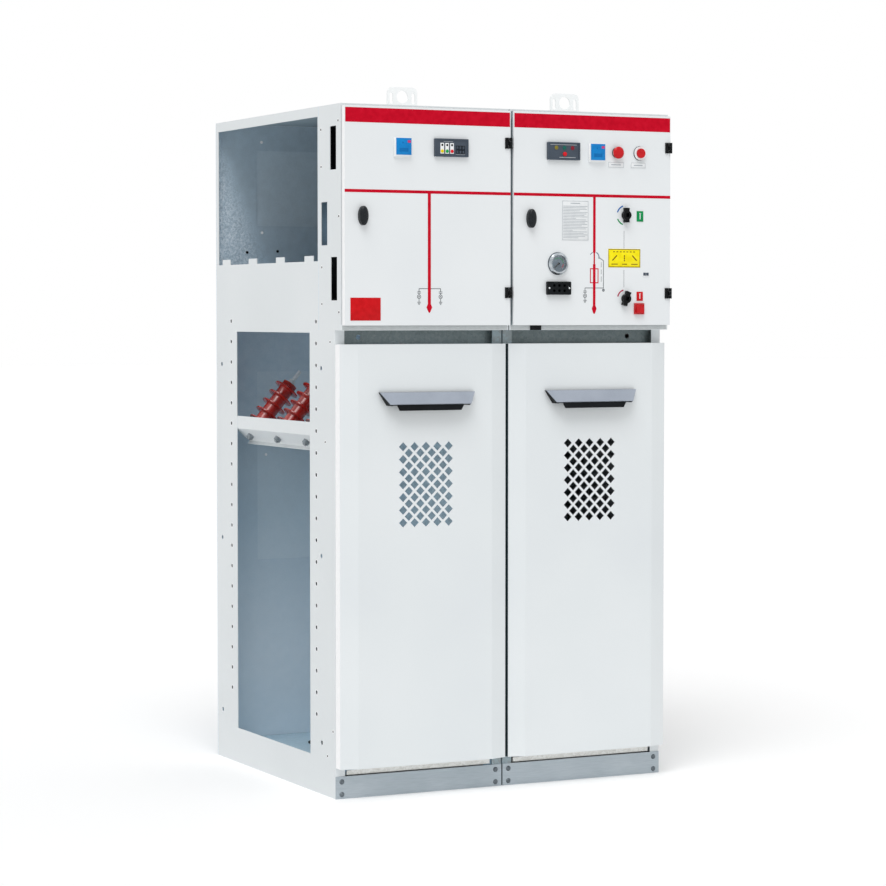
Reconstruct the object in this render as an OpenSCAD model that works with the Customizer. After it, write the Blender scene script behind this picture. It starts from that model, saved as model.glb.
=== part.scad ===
// Two-panel ring main unit: a cable incomer on the left and a fused load-break feeder on the right.
// Millimetres, +Z up, doors towards -Y. The origin is on the floor, in the middle of the unit.

/* [Panels] */
// Outer width of one panel
panel_w = 498; // [470:1:560]
// Gap that the coupling spacers keep between the panels
panel_gap = 4; // [2:0.5:8]
// Depth of the frame, from the plinth face to the rear covers
frame_d = 850; // [830:1:950]
// Height of the frame, from the floor to the roof
frame_h = 1850; // [1800:1:2000]
// Thickness of the frame sheets
sheet_t = 2; // [1.5:0.25:2.5]
// Width of the front flanges folded from the side plates
flange_w = 28; // [26:1:34]
// Width of the rear and top flanges folded from the side plates
edge_flange_w = 18; // [12:1:22]

/* [Side windows] */
// Height of the busbar window's sill above the upper box's bottom
bus_sill = 185; // [150:1:240]
// Strip left above the busbar window
bus_top_strip = 25; // [20:1:60]
// Strip left behind the busbar window
bus_rear_strip = 18; // [14:1:40]
// Strip left between the upper box and the busbar window
bus_front_strip = 5; // [4:1:40]
// Width of the tabs that stand on the busbar window's sill
tab_w = 60; // [30:1:80]
// Height of the tabs
tab_h = 15; // [8:1:25]
// Front edge of the cable window, from the plinth face
cable_front = 168; // [150:1:200]
// Rear edge of the cable window, from the plinth face
cable_rear = 692; // [660:1:720]
// Bottom edge of the cable window
cable_sill = 100; // [90:1:160]
// Strip left between the cable window and the upper box's bottom
cable_top_strip = 7; // [5:1:60]

/* [Punched holes] */
// Diameter of the small fixing holes beside the cable window
fix_hole_d = 12; // [6:0.5:12]
// Vertical pitch of the fixing holes
fix_pitch = 59; // [50:1:64]
// Number of fixing holes in a column
fix_count = 19; // [10:1:20]
// Height of the lowest fixing hole
fix_z = 213; // [180:1:260]
// Distance of the hole columns from the cable window's edges
fix_edge = 42; // [30:1:50]
// Radius of the holes that bolt panels together
couple_r = 6.5; // [5.5:0.5:8]
// Distance of the front coupling holes from the plinth face
couple_front = 92; // [80:1:110]
// Distance of the rear coupling holes from the rear covers
couple_rear = 43; // [30:1:60]
// Heights of the coupling holes
couple_heights = [140, 645, 1150]; // [100:1:1200]
// Height of the bolts that join the two panels above the coupling holes
join_up = 30; // [20:1:60]

/* [Base] */
// Height of the plinth plates
plinth_h = 60; // [50:1:80]
// Distance of the plinth bolts from the panel's edges
plinth_bolt_inset = 18; // [14:1:20]
// Heights of the plinth bolts
plinth_bolt_heights = [12, 46]; // [8:1:50]
// Radius of the plinth bolts' shanks
plinth_bolt_r = 4; // [3:0.5:5]
// Height of the base rails under the floor plates
rail_h = 45; // [38:1:55]
// Width of the base rails' legs
rail_leg = 40; // [32:1:50]
// Thickness of the base rails
rail_t = 3; // [2.5:0.5:4]
// Radius of the floor anchor holes
anchor_r = 7; // [5:0.5:9]
// Distance of the anchor holes from the base rails' ends
anchor_inset = 70; // [50:1:120]
// Distance of the base rails' ends from the front and the rear of the side plates
rail_end = 28; // [20:1:60]
// Distance of the floor plates behind the side plates' front, clear of the plinth bolts
floor_setback = 14; // [12:1:24]
// Width of the bottom rail behind the lower door
sill_depth = 40; // [30:1:60]
// Height of the bottom rail's lip
sill_lip_h = 10; // [6:1:14]
// Gap between the plinth and the bottom rail
sill_gap = 3; // [2:1:6]

/* [Cable entry] */
// Distance between the three phases, from front to rear
phase_pitch = 200; // [180:1:210]
// Depth of the middle phase behind the plinth face
phase_mid = 444; // [430:1:450]
// Bore of a cable grommet
grommet_r = 36; // [25:1:42]
// Wall of a cable grommet in the floor plate
grommet_wall = 6; // [4:0.5:8]
// Height and width of a grommet's rims
grommet_rim = 3; // [2:0.5:5]

/* [Upper boxes] */
// Height of the upper boxes
box_h = 598; // [590:1:640]
// Distance that the box shell stands ahead of the plinth face
box_out = 38; // [34:1:45]
// Depth of the box behind the plinth face
box_back = 105; // [95:1:112]
// Width of the flange around the box's door opening
box_lip = 13; // [11:1:15]
// Width of the wiring slots in the box sides
slot_w = 40; // [20:1:44]
// Height of the wiring slots
slot_h = 115; // [80:1:125]
// Depths of the wiring slots' centres behind the plinth face, from the top slot down
slot_depths = [11, 69, 6]; // [0:1:80]
// Heights of the wiring slots' centres above the box's bottom, from the top slot down
slot_heights = [483, 284, 137]; // [80:1:520]
// Sideways places of the left and right header rails' holes
header_hole_u = [-170, 155]; // [-200:1:200]
// Radius of the header rails' holes
header_hole_r = 7; // [4:0.5:9]

/* [Upper doors] */
// Gap between a door and the panel's side
door_side_gap = 3; // [2.6:0.1:4]
// Height of the sill that shows below a door
door_sill = 13; // [10:1:15]
// Gap between a door and the roof
door_top_gap = 6; // [4:1:10]
// Depth of the door pan
pan_d = 16; // [14:1:17]
// Gap between the door pan and the box flange
pan_gap = 3; // [2.6:0.1:4]
// Thickness of the door sheets
door_t = 2; // [1.5:0.25:2.5]
// Distance between the hinges of a door
hinge_span = 403; // [300:1:460]
// Height of a hinge
hinge_h = 29; // [22:1:40]
// Width of a hinge leaf
hinge_leaf_w = 15; // [12:1:24]
// Thickness of a hinge leaf
hinge_leaf_t = 3; // [2.5:0.25:4]
// Radius of a hinge knuckle
knuckle_r = 4.5; // [4:0.1:4.8]
// Radius of a hinge pin
pin_r = 2.5; // [2:0.1:3]
// Place of the interlock guide's left end, across from the right door's middle
guide_u = -186; // [-220:1:-100]
// Width of the interlock guide
guide_w = 32; // [20:1:50]
// Height of the interlock guide's clearance under the door
guide_gap = 0.5; // [0.3:0.1:2]

/* [Locks] */
// Distance of a lock from the door's free edge
lock_inset = 51; // [48:1:56]
// Height of the oval lock handle
lock_h = 51; // [40:1:60]
// Width of the oval lock handle
lock_w = 26; // [20:1:32]
// Thickness of the oval lock handle
lock_t = 12; // [8:1:14]
// Radius of the lock's shaft
lock_shaft_r = 8; // [6:0.5:9]
// Length of the lock's cam from the shaft's axis
cam_l = 45; // [43:1:48]
// Thickness of the lock's cam
cam_t = 3; // [2:0.5:4]

/* [Door devices] */
// Height of the instrument row below the roof
row_drop = 111; // [90:1:130]
// Width of the live-line and fault indicators
meter_w = 100; // [90:1:110]
// Height of the live-line and fault indicators
meter_h = 48; // [44:1:60]
// Thickness of the indicators' front frames
meter_t = 8; // [6:1:12]
// Depth of the bodies behind the door
device_depth = 36; // [25:1:40]
// Edge of the blue display modules
module_w = 45; // [40:1:52]
// Thickness of the blue display modules in front of the door
module_t = 9; // [6:1:12]
// Places of the left module and the live-line indicator, across from the door's middle
left_row = [-78, 65]; // [-150:1:150]
// Places of the fault indicator and the right module, across from the door's middle
right_row = [-95, 10]; // [-150:1:150]
// Places of the two round push buttons, across from the door's middle
button_row = [74, 147]; // [60:1:170]
// Radius of the red mushroom button
mushroom_r = 16.5; // [14:0.5:20]
// Radius of the bezel around the second button
bezel_r = 18.5; // [16:0.5:22]
// Radius of the second button
cap_r = 13; // [11:0.5:14]
// Travel of the push buttons
push = 4; // [2:0.5:5]
// Radius of the buttons' stems
stem_r = 8; // [6:0.5:9]
// Edge of the square trip button
trip_w = 24; // [20:1:26]
// Width of the trip button's frame
trip_frame = 3; // [2:0.5:4]
// Place of the trip button: across from the door's middle, above the box's bottom
trip_at = [145, 58]; // [40:1:170]
// Radius of the gas gauge's bezel
gauge_r = 30; // [26:1:36]
// Radius of the gas gauge's dial
dial_r = 23; // [18:1:24]
// Place of the gas gauge: across from the door's middle, above the box's bottom
gauge_at = [-110, 181]; // [-150:1:220]
// Width and height of the test socket block
socket_size = [73, 36]; // [30:1:90]
// Place of the test socket block: across from the door's middle, above the box's bottom
socket_at = [-110, 114]; // [-150:1:150]
// Place of the operating knobs across from the door's middle
knob_u = 102; // [90:1:110]
// Heights of the load-switch and earthing knobs above the box's bottom
knob_heights = [316, 86]; // [80:1:340]
// Radius of a knob's round boss
knob_r = 12.5; // [11:0.5:16]
// Length of a knob over its two ears
knob_span = 40; // [34:1:46]
// Width of a knob's ears at the boss
ear_neck = 9; // [7:0.5:11]
// Width of a knob's ears at their ends
ear_tip = 14; // [10:0.5:16]
// Thickness of a knob
knob_t = 13; // [9:1:14]
// Turn of the load-switch and earthing knobs' ears from upright
knob_turns = [0, 20]; // [-45:1:45]
// Radius of a knob's shaft
shaft_r = 10; // [8:0.5:10.5]

/* [Lower doors] */
// Gap between a lower door and the panel's side
low_side_gap = 1.5; // [1:0.5:9]
// Height of the lower doors' bottom edge
low_z = 83; // [80:1:110]
// Gap between a lower door and the upper box
low_top_gap = 37; // [34:1:45]
// Distance of the door's face ahead of the plinth face
low_out = 40; // [32:1:45]
// Depth of the bevelled margins
bevel_d = 14; // [8:1:20]
// Width of the bevelled margins
bevel_w = 48; // [30:1:60]
// Height that the door lifts to leave its hooks
lift = 28; // [20:1:30]
// Thickness of the hooks
hook_t = 3; // [2:0.5:4]
// Distance of the hooks from the lower door's edges
hook_edge = 7; // [6:0.5:10]
// Distance of the hooks from the door's top and bottom
hook_inset = 150; // [120:1:250]
// Length of a grille diamond over its corners
diamond = 25; // [18:1:27]
// Sideways pitch of the grille diamonds
diamond_pitch = 34; // [32:1:38]
// Diamonds in the grille's long rows
diamond_columns = 5; // [3:1:6]
// Long rows of the grille
diamond_rows = 7; // [3:1:9]
// Distance of the grille's middle below the door's top
grille_drop = 376; // [340:1:600]

/* [Handles] */
// Distance of the handle's upper edge below the lower door's top
handle_drop = 128; // [100:1:150]
// Width of the handle at its upper edge
handle_top_w = 282; // [240:1:320]
// Width of the handle at its lower edge
handle_low_w = 241; // [215:1:280]
// Distance that the handle stands out of the door's face
handle_d = 33; // [28:1:40]
// Distance that the handle's upper edge stands out of the door's face
handle_top_d = 12; // [8:1:16]
// Height of the handle's sloped face
handle_h = 31; // [26:1:40]
// Thickness of the grey handle face
face_t = 3; // [2:0.5:4]
// Wall of the black handle body
body_t = 4; // [3:0.5:5]
// Width of the finger lip at its top
lip_w = 200; // [160:1:210]
// Width of the finger lip at its bottom
lip_low_w = 182; // [150:1:200]
// Height of the finger lip
lip_h = 16; // [10:1:20]

/* [Rear and roof] */
// Thickness of the rear covers
cover_t = 2; // [1.5:0.25:3]
// Width of the rear covers
cover_w = 268; // [220:1:320]
// Height of the upper rear cover
cover_top_h = 244; // [200:1:280]
// Distance of the upper rear cover below the roof
cover_top_drop = 64; // [50:1:100]
// Height of the lower rear cover
cover_low_h = 578; // [400:1:620]
// Height of the lower rear cover's top edge
cover_low_z = 1138; // [1100:1:1180]
// Overlap of a cover on the edge of its opening
cover_lap = 12; // [8:1:20]
// Width of a lifting lug
lug_w = 90; // [80:1:110]
// Height of a lifting lug
lug_h = 60; // [55:1:80]
// Thickness of a lifting lug
lug_t = 4; // [3:0.5:6]
// Length of a lifting lug's foot
lug_foot = 40; // [30:1:60]
// Distance of the rear lugs from the panels' middles, towards the joint
rear_lug_u = 110; // [0:1:180]
// Radius of the lifting eye
eye_r = 17; // [12:0.5:19]

/* [Arresters] */
// Height of the arrester bracket's upper edge
bracket_z = 1003; // [900:1:1050]
// Height of the bracket's upright flange
bracket_up = 33; // [25:1:60]
// Width of the bracket's sloped plate
bracket_slope = 62; // [58:1:80]
// Thickness of the brackets
bracket_t = 3; // [2.5:0.5:4]
// Lean of the arresters from upright
arrester_lean = 40; // [30:1:50]
// Place of the arresters along the sloped plate
arrester_seat = 30; // [28:1:42]
// Radius of an arrester's core
core_r = 22; // [18:0.5:24]
// Radius of an arrester's sheds
shed_r = 38; // [32:0.5:42]
// Number of sheds on an arrester
shed_count = 5; // [3:1:6]
// Distance between the sheds
shed_pitch = 31; // [24:1:34]
// Height of the lowest shed above the bracket
shed_first = 44; // [34:1:50]
// Height of the arrester's head above its top shed
arrester_head = 17; // [15:1:30]
// Radius of the arresters' studs
stud_r = 6; // [5:0.5:7]
// Length of the studs above the arresters
stud_out = 48; // [35:1:60]

/* [Busbars and switch] */
// Height of a busbar
busbar_h = 50; // [40:1:60]
// Thickness of a busbar
busbar_t = 6; // [5:0.5:8]
// Height of the busbars' middle above the upper box's bottom
busbar_up = 400; // [380:1:440]
// Width of the riser bars
riser_w = 40; // [30:1:50]
// Place of the risers across from the left panel's middle
riser_u = 70; // [60:1:100]
// Radius of the rods through the left insulators
rod_r = 10; // [8:0.5:12]
// Height of a wall insulator above and below the shelf
insulator_h = 110; // [90:1:120]
// Radius of the switch tank
tank_r = 120; // [110:1:125]
// Thickness of each tank flange
tank_flange_t = 12; // [8:1:16]
// Width of the tank flange outside the tank
tank_flange_w = 28; // [20:1:40]
// Width of the tank flange at the tank's ends
tank_flange_end = 20; // [14:1:24]
// Length of the tank past the outer phases
tank_over = 94; // [80:1:100]
// Height of the tank's bushings
bushing_h = 90; // [70:1:110]
// Length of a fuse link
fuse_l = 292; // [250:1:300]
// Radius of a fuse link's barrel
fuse_r = 29; // [26:0.5:34]
// Radius of a fuse link's end caps
fuse_cap_r = 23; // [20:0.5:25]
// Height of the fuse contacts' cups
cup_h = 40; // [30:1:50]
// Wall of the fuse contacts' cups
cup_t = 8; // [5:0.5:10]
// Height of the post insulators under the fuses
post_h = 120; // [90:1:140]
// Width and height of the mechanism housing's margin around the knobs
housing_margin = 45; // [35:1:50]
// Depth of the mechanism housing
housing_d = 82; // [70:1:85]

/* [Hidden] */
$fn = 48;

// Running clearance of shafts and pins, gap of seated pieces, and gap of pieces that pass each other
run_fit = 0.05;
seat_gap = 0.3;
pass_gap = 0.6;

half_w = panel_w / 2;
inner_w = half_w - sheet_t;
handle_out = low_out + handle_d;
front_y = handle_out - (frame_d + handle_out) / 2;
flange_v = sheet_t;
side_end = frame_d - cover_t - sheet_t;
roof_z = frame_h - sheet_t;
box_z = frame_h - box_h;
floor_z = rail_h;
couple_depths = [couple_front, frame_d - couple_rear];
phases = [for (i = [-1:1]) phase_mid + i * phase_pitch];

door_back = -box_out - pan_gap;
door_front = door_back - pan_d;
door_half = half_w - door_side_gap;
door_z0 = box_z + door_sill;
door_z1 = frame_h - door_top_gap;
door_mid = (door_z0 + door_z1) / 2;
hinge_u = half_w - 0.5 - knuckle_r;
hinge_v = door_front - knuckle_r - pass_gap;
hinge_heights = [door_mid - hinge_span / 2, door_mid + hinge_span / 2];
row_z = frame_h - row_drop;
lock_u = -door_half + lock_inset;
cam_v = -box_out + sheet_t + 3;

low_half = half_w - low_side_gap;
low_z1 = box_z - low_top_gap;
hook_u = low_half - hook_edge - hook_t;
low_back = flange_v - 0.5;
hook_heights = [low_z + hook_inset, low_z1 - hook_inset];
hook_neck = 6;
handle_z = low_z1 - handle_drop;
hook_reach = flange_v + sheet_t + pass_gap;

bus_z = box_z + busbar_up;
tank_z = box_z + knob_heights[1];
shelf_z = tank_z - tank_flange_t - sheet_t;
tank_v0 = phases[0] - tank_over;
tank_v1 = phases[2] + tank_over;
bushing_z = tank_r - 15;
fuse_top = tank_z - bushing_z - bushing_h - 50;
fuse_bottom = fuse_top - fuse_l;
post_z = fuse_bottom - cup_t - post_h;
dog_v = -22;
dog_t = 6;

function panel_x(p) = (p - 0.5) * (panel_w + panel_gap);

// Places the children in a panel: u across from its middle, v back from the plinth face, z up
module at_panel(p) {
    translate([panel_x(p), front_y, 0]) children();
}

// Stands an outline drawn in v and z across the panel, from u on
module upright(u, t) {
    translate([u, 0, 0]) rotate([90, 0, 90]) linear_extrude(t) children();
}

// Stands an outline drawn in u and z facing the front, from v back
module facing(v, t) {
    translate([0, v + t, 0]) rotate([90, 0, 0]) linear_extrude(t) children();
}

// A round bar that runs back from v
module back_rod(u, v, z, r, h) {
    translate([u, v, z]) rotate([-90, 0, 0]) cylinder(r = r, h = h);
}

// A rectangle by its corners
module area(low, high) {
    translate(low) square([high[0] - low[0], high[1] - low[1]]);
}

// A box by its corners
module block(low, high) {
    translate(low) cube([for (i = [0:2]) high[i] - low[i]]);
}

// A rectangle with round corners, about its middle
module soft_square(w, h, r) {
    for (s = [-1, 1]) translate([s * (w / 2 - r), 0]) square([2 * r, h - 2 * r], center = true);
    square([w - 2 * r, h], center = true);
    for (a = [-1, 1], b = [-1, 1]) translate([a * (w / 2 - r), b * (h / 2 - r)]) circle(r = r);
}

// A bar with round ends, about its middle
module stadium(w, h) {
    square([w, h - w], center = true);
    for (s = [-1, 1]) translate([0, s * (h - w) / 2]) circle(d = w);
}

// An oval about its middle
module oval(w, h) {
    scale([w / h, 1]) circle(d = h);
}

// Side plates

module side_outline() {
    polygon([[flange_v, 0], [side_end, 0], [side_end, roof_z], [box_back + sheet_t, roof_z],
             [box_back + sheet_t, box_z], [flange_v, box_z]]);
}

module bus_window() {
    v0 = box_back + sheet_t + bus_front_strip;
    v1 = side_end - bus_rear_strip;
    pitch = (v1 - v0 - 2 * tab_w) / 3;
    difference() {
        area([v0, box_z + bus_sill], [v1, roof_z - bus_top_strip]);
        for (i = [0:3]) {
            translate([v0 + tab_w + i * pitch - tab_w / 2, box_z + bus_sill]) square([tab_w, tab_h]);
        }
    }
}

module cable_window() {
    area([cable_front, cable_sill], [cable_rear, box_z - cable_top_strip]);
}

module coupling_holes(up) {
    for (v = couple_depths, z = couple_heights) translate([v, z + up]) circle(r = couple_r);
}

module fixing_holes() {
    for (v = [cable_front - fix_edge, cable_rear + fix_edge], i = [0:fix_count - 1]) {
        translate([v, fix_z + i * fix_pitch]) circle(d = fix_hole_d);
    }
}

// The left plate of a panel with its flanges; children cut windows and holes in v and z
module side_plate(up = 0) {
    upright(-half_w, sheet_t) difference() {
        side_outline();
        coupling_holes(up);
        children();
    }
    difference() {
        block([-inner_w, flange_v, 0], [-half_w + flange_w, flange_v + sheet_t, box_z]);
        for (z = plinth_bolt_heights) {
            back_rod(-half_w + plinth_bolt_inset, 0, z, plinth_bolt_r + 0.5, 10 * sheet_t);
        }
        for (z = hook_heights) {
            block([-hook_u - hook_t - 1.5, 0, z - hook_neck - seat_gap],
                  [-hook_u + 1.5, 10 * sheet_t, z + hook_neck + lift + 1]);
        }
    }
    block([-inner_w, side_end - sheet_t, 0], [-half_w + edge_flange_w, side_end, roof_z]);
    block([-inner_w, box_back + sheet_t, roof_z - sheet_t],
          [-half_w + edge_flange_w, side_end - sheet_t, roof_z]);
}

module left_side_plate() {
    color("whitesmoke") at_panel(0) side_plate() {
        bus_window();
        cable_window();
        fixing_holes();
    }
}

module inner_side_plates() {
    color("lightslategray") {
        at_panel(0) mirror([1, 0, 0]) side_plate(join_up) bus_window();
        at_panel(1) side_plate(join_up) bus_window();
    }
}

module right_side_plate() {
    color("whitesmoke") at_panel(1) mirror([1, 0, 0]) side_plate();
}

// Rear, roof and lifting lugs

module cover_outline(lap) {
    half = cover_w / 2 - lap;
    top = frame_h - cover_top_drop;
    area([-half, top - cover_top_h + lap], [half, top - lap]);
    area([-half, cover_low_z - cover_low_h + lap], [half, cover_low_z - lap]);
}

module rear_walls() {
    color("lightslategray") for (p = [0, 1]) at_panel(p) facing(side_end, sheet_t) difference() {
        area([-half_w, 0], [half_w, roof_z]);
        cover_outline(cover_lap);
    }
}

module rear_covers() {
    color("silver") for (p = [0, 1]) at_panel(p) facing(side_end + sheet_t, cover_t) cover_outline(0);
}

module roof_plates() {
    color("whitesmoke") for (p = [0, 1]) at_panel(p) {
        block([-half_w, box_back, roof_z], [half_w, side_end + sheet_t, frame_h]);
    }
}

module lug_outline() {
    round_r = 15;
    slot = [10, 30];
    difference() {
        union() {
            area([-lug_w / 2, 0], [lug_w / 2, lug_h - round_r]);
            area([-lug_w / 2 + round_r, 0], [lug_w / 2 - round_r, lug_h]);
            for (s = [-1, 1]) translate([s * (lug_w / 2 - round_r), lug_h - round_r]) circle(r = round_r);
        }
        translate([0, lug_h / 2 + 4]) circle(r = eye_r);
        for (s = [-1, 1]) translate([s * (lug_w / 2 - 12), lug_h / 2]) stadium(slot[0], slot[1]);
    }
}

module lifting_lug() {
    facing(0, lug_t) lug_outline();
    block([-lug_w / 2, lug_t, 0], [lug_w / 2, lug_foot, lug_t]);
}

module lifting_lugs() {
    color("white") for (p = [0, 1]) at_panel(p) {
        translate([0, box_back + 2, frame_h]) lifting_lug();
        translate([p == 0 ? rear_lug_u : -rear_lug_u, side_end, frame_h]) mirror([0, 1, 0]) lifting_lug();
    }
}

// Base

module base_rail() {
    length = side_end - 2 * rail_end;
    difference() {
        facing(rail_end, length) difference() {
            area([-inner_w, 0], [-inner_w + rail_leg, rail_h]);
            area([-inner_w + rail_t, rail_t], [-inner_w + rail_leg + 1, rail_h - rail_t]);
        }
        for (v = [rail_end + anchor_inset, side_end - rail_end - anchor_inset]) {
            translate([-inner_w + rail_leg / 2 + rail_t / 2, v, -1]) cylinder(r = anchor_r, h = rail_t + 2);
        }
    }
}

module base_rails() {
    color("slategray") for (p = [0, 1]) at_panel(p) for (s = [0, 1]) mirror([s, 0, 0]) base_rail();
}

module floor_plates() {
    color("lightslategray") for (p = [0, 1]) at_panel(p) difference() {
        block([-inner_w, flange_v + floor_setback, floor_z],
              [inner_w, side_end - sheet_t, floor_z + sheet_t]);
        for (v = phases) {
            translate([0, v, floor_z - 1]) cylinder(r = grommet_r + grommet_wall + seat_gap, h = sheet_t + 2);
        }
    }
}

module grommet() {
    wall = grommet_r + grommet_wall;
    rim = wall + grommet_rim;
    rotate_extrude() polygon([[grommet_r, -grommet_rim], [rim, -grommet_rim], [rim, 0], [wall, 0],
        [wall, sheet_t], [rim, sheet_t], [rim, sheet_t + grommet_rim], [grommet_r, sheet_t + grommet_rim]]);
}

module cable_grommets() {
    color("black") for (p = [0, 1]) at_panel(p) for (v = phases) translate([0, v, floor_z]) grommet();
}

module plinths() {
    color("silver") for (p = [0, 1]) at_panel(p) difference() {
        block([-half_w, 0, 0], [half_w, sheet_t, plinth_h]);
        for (s = [-1, 1], z = plinth_bolt_heights) {
            back_rod(s * (half_w - plinth_bolt_inset), -1, z, plinth_bolt_r + 0.5, sheet_t + 2);
        }
    }
}

module plinth_bolt() {
    head_t = 3.5;
    nut_t = 5;
    stack = 2 * sheet_t;
    rotate([-90, 0, 0]) {
        translate([0, 0, -head_t]) cylinder(r1 = plinth_bolt_r, r2 = 1.8 * plinth_bolt_r, h = head_t);
        cylinder(r = plinth_bolt_r, h = stack + nut_t + 3);
        translate([0, 0, stack]) cylinder(r = 1.8 * plinth_bolt_r, h = nut_t, $fn = 6);
    }
}

module plinth_bolts() {
    color("gainsboro") for (p = [0, 1]) at_panel(p) for (s = [-1, 1], z = plinth_bolt_heights) {
        translate([s * (half_w - plinth_bolt_inset), 0, z]) plinth_bolt();
    }
}

module bottom_rails() {
    v0 = flange_v + sheet_t;
    z0 = plinth_h + sill_gap;
    rail_u = half_w - flange_w - 6;
    color("lightslategray") for (p = [0, 1]) at_panel(p) upright(-rail_u, 2 * rail_u) {
        area([v0, z0], [v0 + sheet_t, z0 + sheet_t + sill_lip_h]);
        area([v0, z0], [v0 + sill_depth, z0 + sheet_t]);
        area([v0 + sill_depth - sheet_t, floor_z + sheet_t], [v0 + sill_depth, z0 + sheet_t]);
    }
}

module header_rails() {
    v0 = flange_v + sheet_t;
    web_v = v0 + 20;
    color("lightslategray") for (p = [0, 1]) at_panel(p) difference() {
        upright(-inner_w, 2 * inner_w) {
            area([v0, box_z - sheet_t], [web_v, box_z]);
            area([web_v, box_z - low_top_gap], [web_v + sheet_t, box_z]);
        }
        back_rod(header_hole_u[p], v0, box_z - low_top_gap / 2, header_hole_r, 40);
    }
}

module partitions() {
    color("lightslategray") {
        for (p = [0, 1]) at_panel(p) difference() {
            block([-half_w, box_back, box_z], [half_w, box_back + sheet_t, roof_z]);
            if (p == 1) back_rod(knob_u, box_back - 1, tank_z, shaft_r + 1, sheet_t + 2);
        }
        for (p = [0, 1]) at_panel(p) difference() {
            block([-inner_w, box_back + sheet_t + seat_gap, shelf_z],
                  [inner_w, side_end - sheet_t, shelf_z + sheet_t]);
            if (p == 0) for (v = phases) {
                translate([riser_u, v + busbar_t, shelf_z - 1]) cylinder(r = 31, h = sheet_t + 2);
            }
            if (p == 1) {
                block([-tank_r - 2, tank_v0 - 2, shelf_z - 1],
                      [tank_r + 2, tank_v1 + 2, shelf_z + sheet_t + 1]);
            }
        }
    }
}

// Bolts with spacers that join the two panels
module coupling_bolts() {
    bolt_r = couple_r - 1;
    head_t = 6;
    tail = 1;
    color("silver") translate([0, front_y, 0])
    for (v = couple_depths, z = couple_heights) translate([0, v, z + join_up]) rotate([0, 90, 0]) {
        cylinder(r = bolt_r, h = panel_gap + 2 * (sheet_t + head_t + tail), center = true);
        cylinder(r = 2.2 * bolt_r, h = panel_gap, center = true);
        for (s = [-1, 1]) translate([0, 0, s * (panel_gap / 2 + sheet_t + head_t / 2)]) {
            cylinder(r = 1.8 * bolt_r, h = head_t, center = true, $fn = 6);
        }
    }
}

// Upper boxes

module box_shell() {
    difference() {
        block([-half_w, -box_out, box_z], [half_w, box_back, frame_h]);
        block([-inner_w, -box_out + sheet_t, box_z + sheet_t], [inner_w, box_back + 1, roof_z]);
        block([-inner_w + box_lip, -box_out - 1, box_z + sheet_t + box_lip],
              [inner_w - box_lip, box_back, roof_z - box_lip]);
        upright(-half_w - 1, panel_w + 2) for (i = [0:len(slot_depths) - 1]) {
            translate([slot_depths[i], box_z + slot_heights[i]]) square([slot_w, slot_h], center = true);
        }
    }
}

module box_shells() {
    color("whitesmoke") for (p = [0, 1]) at_panel(p) box_shell();
}

// The eyes and the strap that carry a hinge pin in front of the box
module hinge_bracket() {
    strap_u = door_half + pass_gap;
    eye_h = hinge_h / 3 - seat_gap;
    difference() {
        union() {
            block([hinge_u - 12, -box_out - 2, -hinge_h / 2], [half_w - 0.4, -box_out, hinge_h / 2]);
            block([strap_u, door_front + 1, -hinge_h / 2], [half_w - 0.4, -box_out, hinge_h / 2]);
            for (z = [-hinge_h / 2, hinge_h / 2 - eye_h]) {
                block([strap_u, hinge_v, z], [half_w - 0.4, door_front + 1, z + eye_h]);
                translate([hinge_u, hinge_v, z]) cylinder(r = knuckle_r, h = eye_h);
            }
        }
        translate([hinge_u, hinge_v, -hinge_h]) cylinder(r = pin_r + run_fit, h = 2 * hinge_h);
    }
}

module hinge_leaf() {
    knuckle_h = hinge_h / 3;
    difference() {
        union() {
            block([hinge_u - hinge_leaf_w, door_front - hinge_leaf_t, -hinge_h / 2],
                  [hinge_u - knuckle_r - seat_gap, door_front, hinge_h / 2]);
            block([hinge_u - knuckle_r - 1, hinge_v, -knuckle_h / 2], [hinge_u, door_front, knuckle_h / 2]);
            translate([hinge_u, hinge_v, -knuckle_h / 2]) cylinder(r = knuckle_r, h = knuckle_h);
        }
        translate([hinge_u, hinge_v, -hinge_h]) cylinder(r = pin_r + run_fit, h = 2 * hinge_h);
    }
}

module hinge_brackets() {
    color("dimgray") for (p = [0, 1], z = hinge_heights) at_panel(p) translate([0, 0, z]) hinge_bracket();
}

module hinge_pins() {
    color("silver") for (p = [0, 1]) at_panel(p) for (z = hinge_heights) {
        translate([hinge_u, hinge_v, z]) cylinder(r = pin_r, h = hinge_h, center = true);
    }
}

module interlock_guide() {
    color("black") at_panel(1) {
        block([guide_u, -box_out - 6, box_z], [guide_u + guide_w, -box_out, door_z0 - guide_gap]);
    }
}

// Upper doors, with cut-outs drawn in u and z by the children

module upper_door() {
    difference() {
        block([-door_half, door_front, door_z0], [door_half, door_back, door_z1]);
        block([-door_half + door_t, door_front + door_t, door_z0 + door_t],
              [door_half - door_t, door_back + 1, door_z1 - door_t]);
        facing(door_front - 1, door_t + 2) {
            translate([lock_u, door_mid]) circle(r = lock_shaft_r + run_fit);
            children();
        }
    }
}

module device_cut(u, z, w, h) {
    translate([u, z]) square([w, h], center = true);
}

module left_upper_door() {
    color("whitesmoke") at_panel(0) upper_door() {
        device_cut(left_row[0], row_z, module_w - 6, module_w - 6);
        device_cut(left_row[1], row_z, meter_w - 6, meter_h - 4);
    }
}

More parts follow.
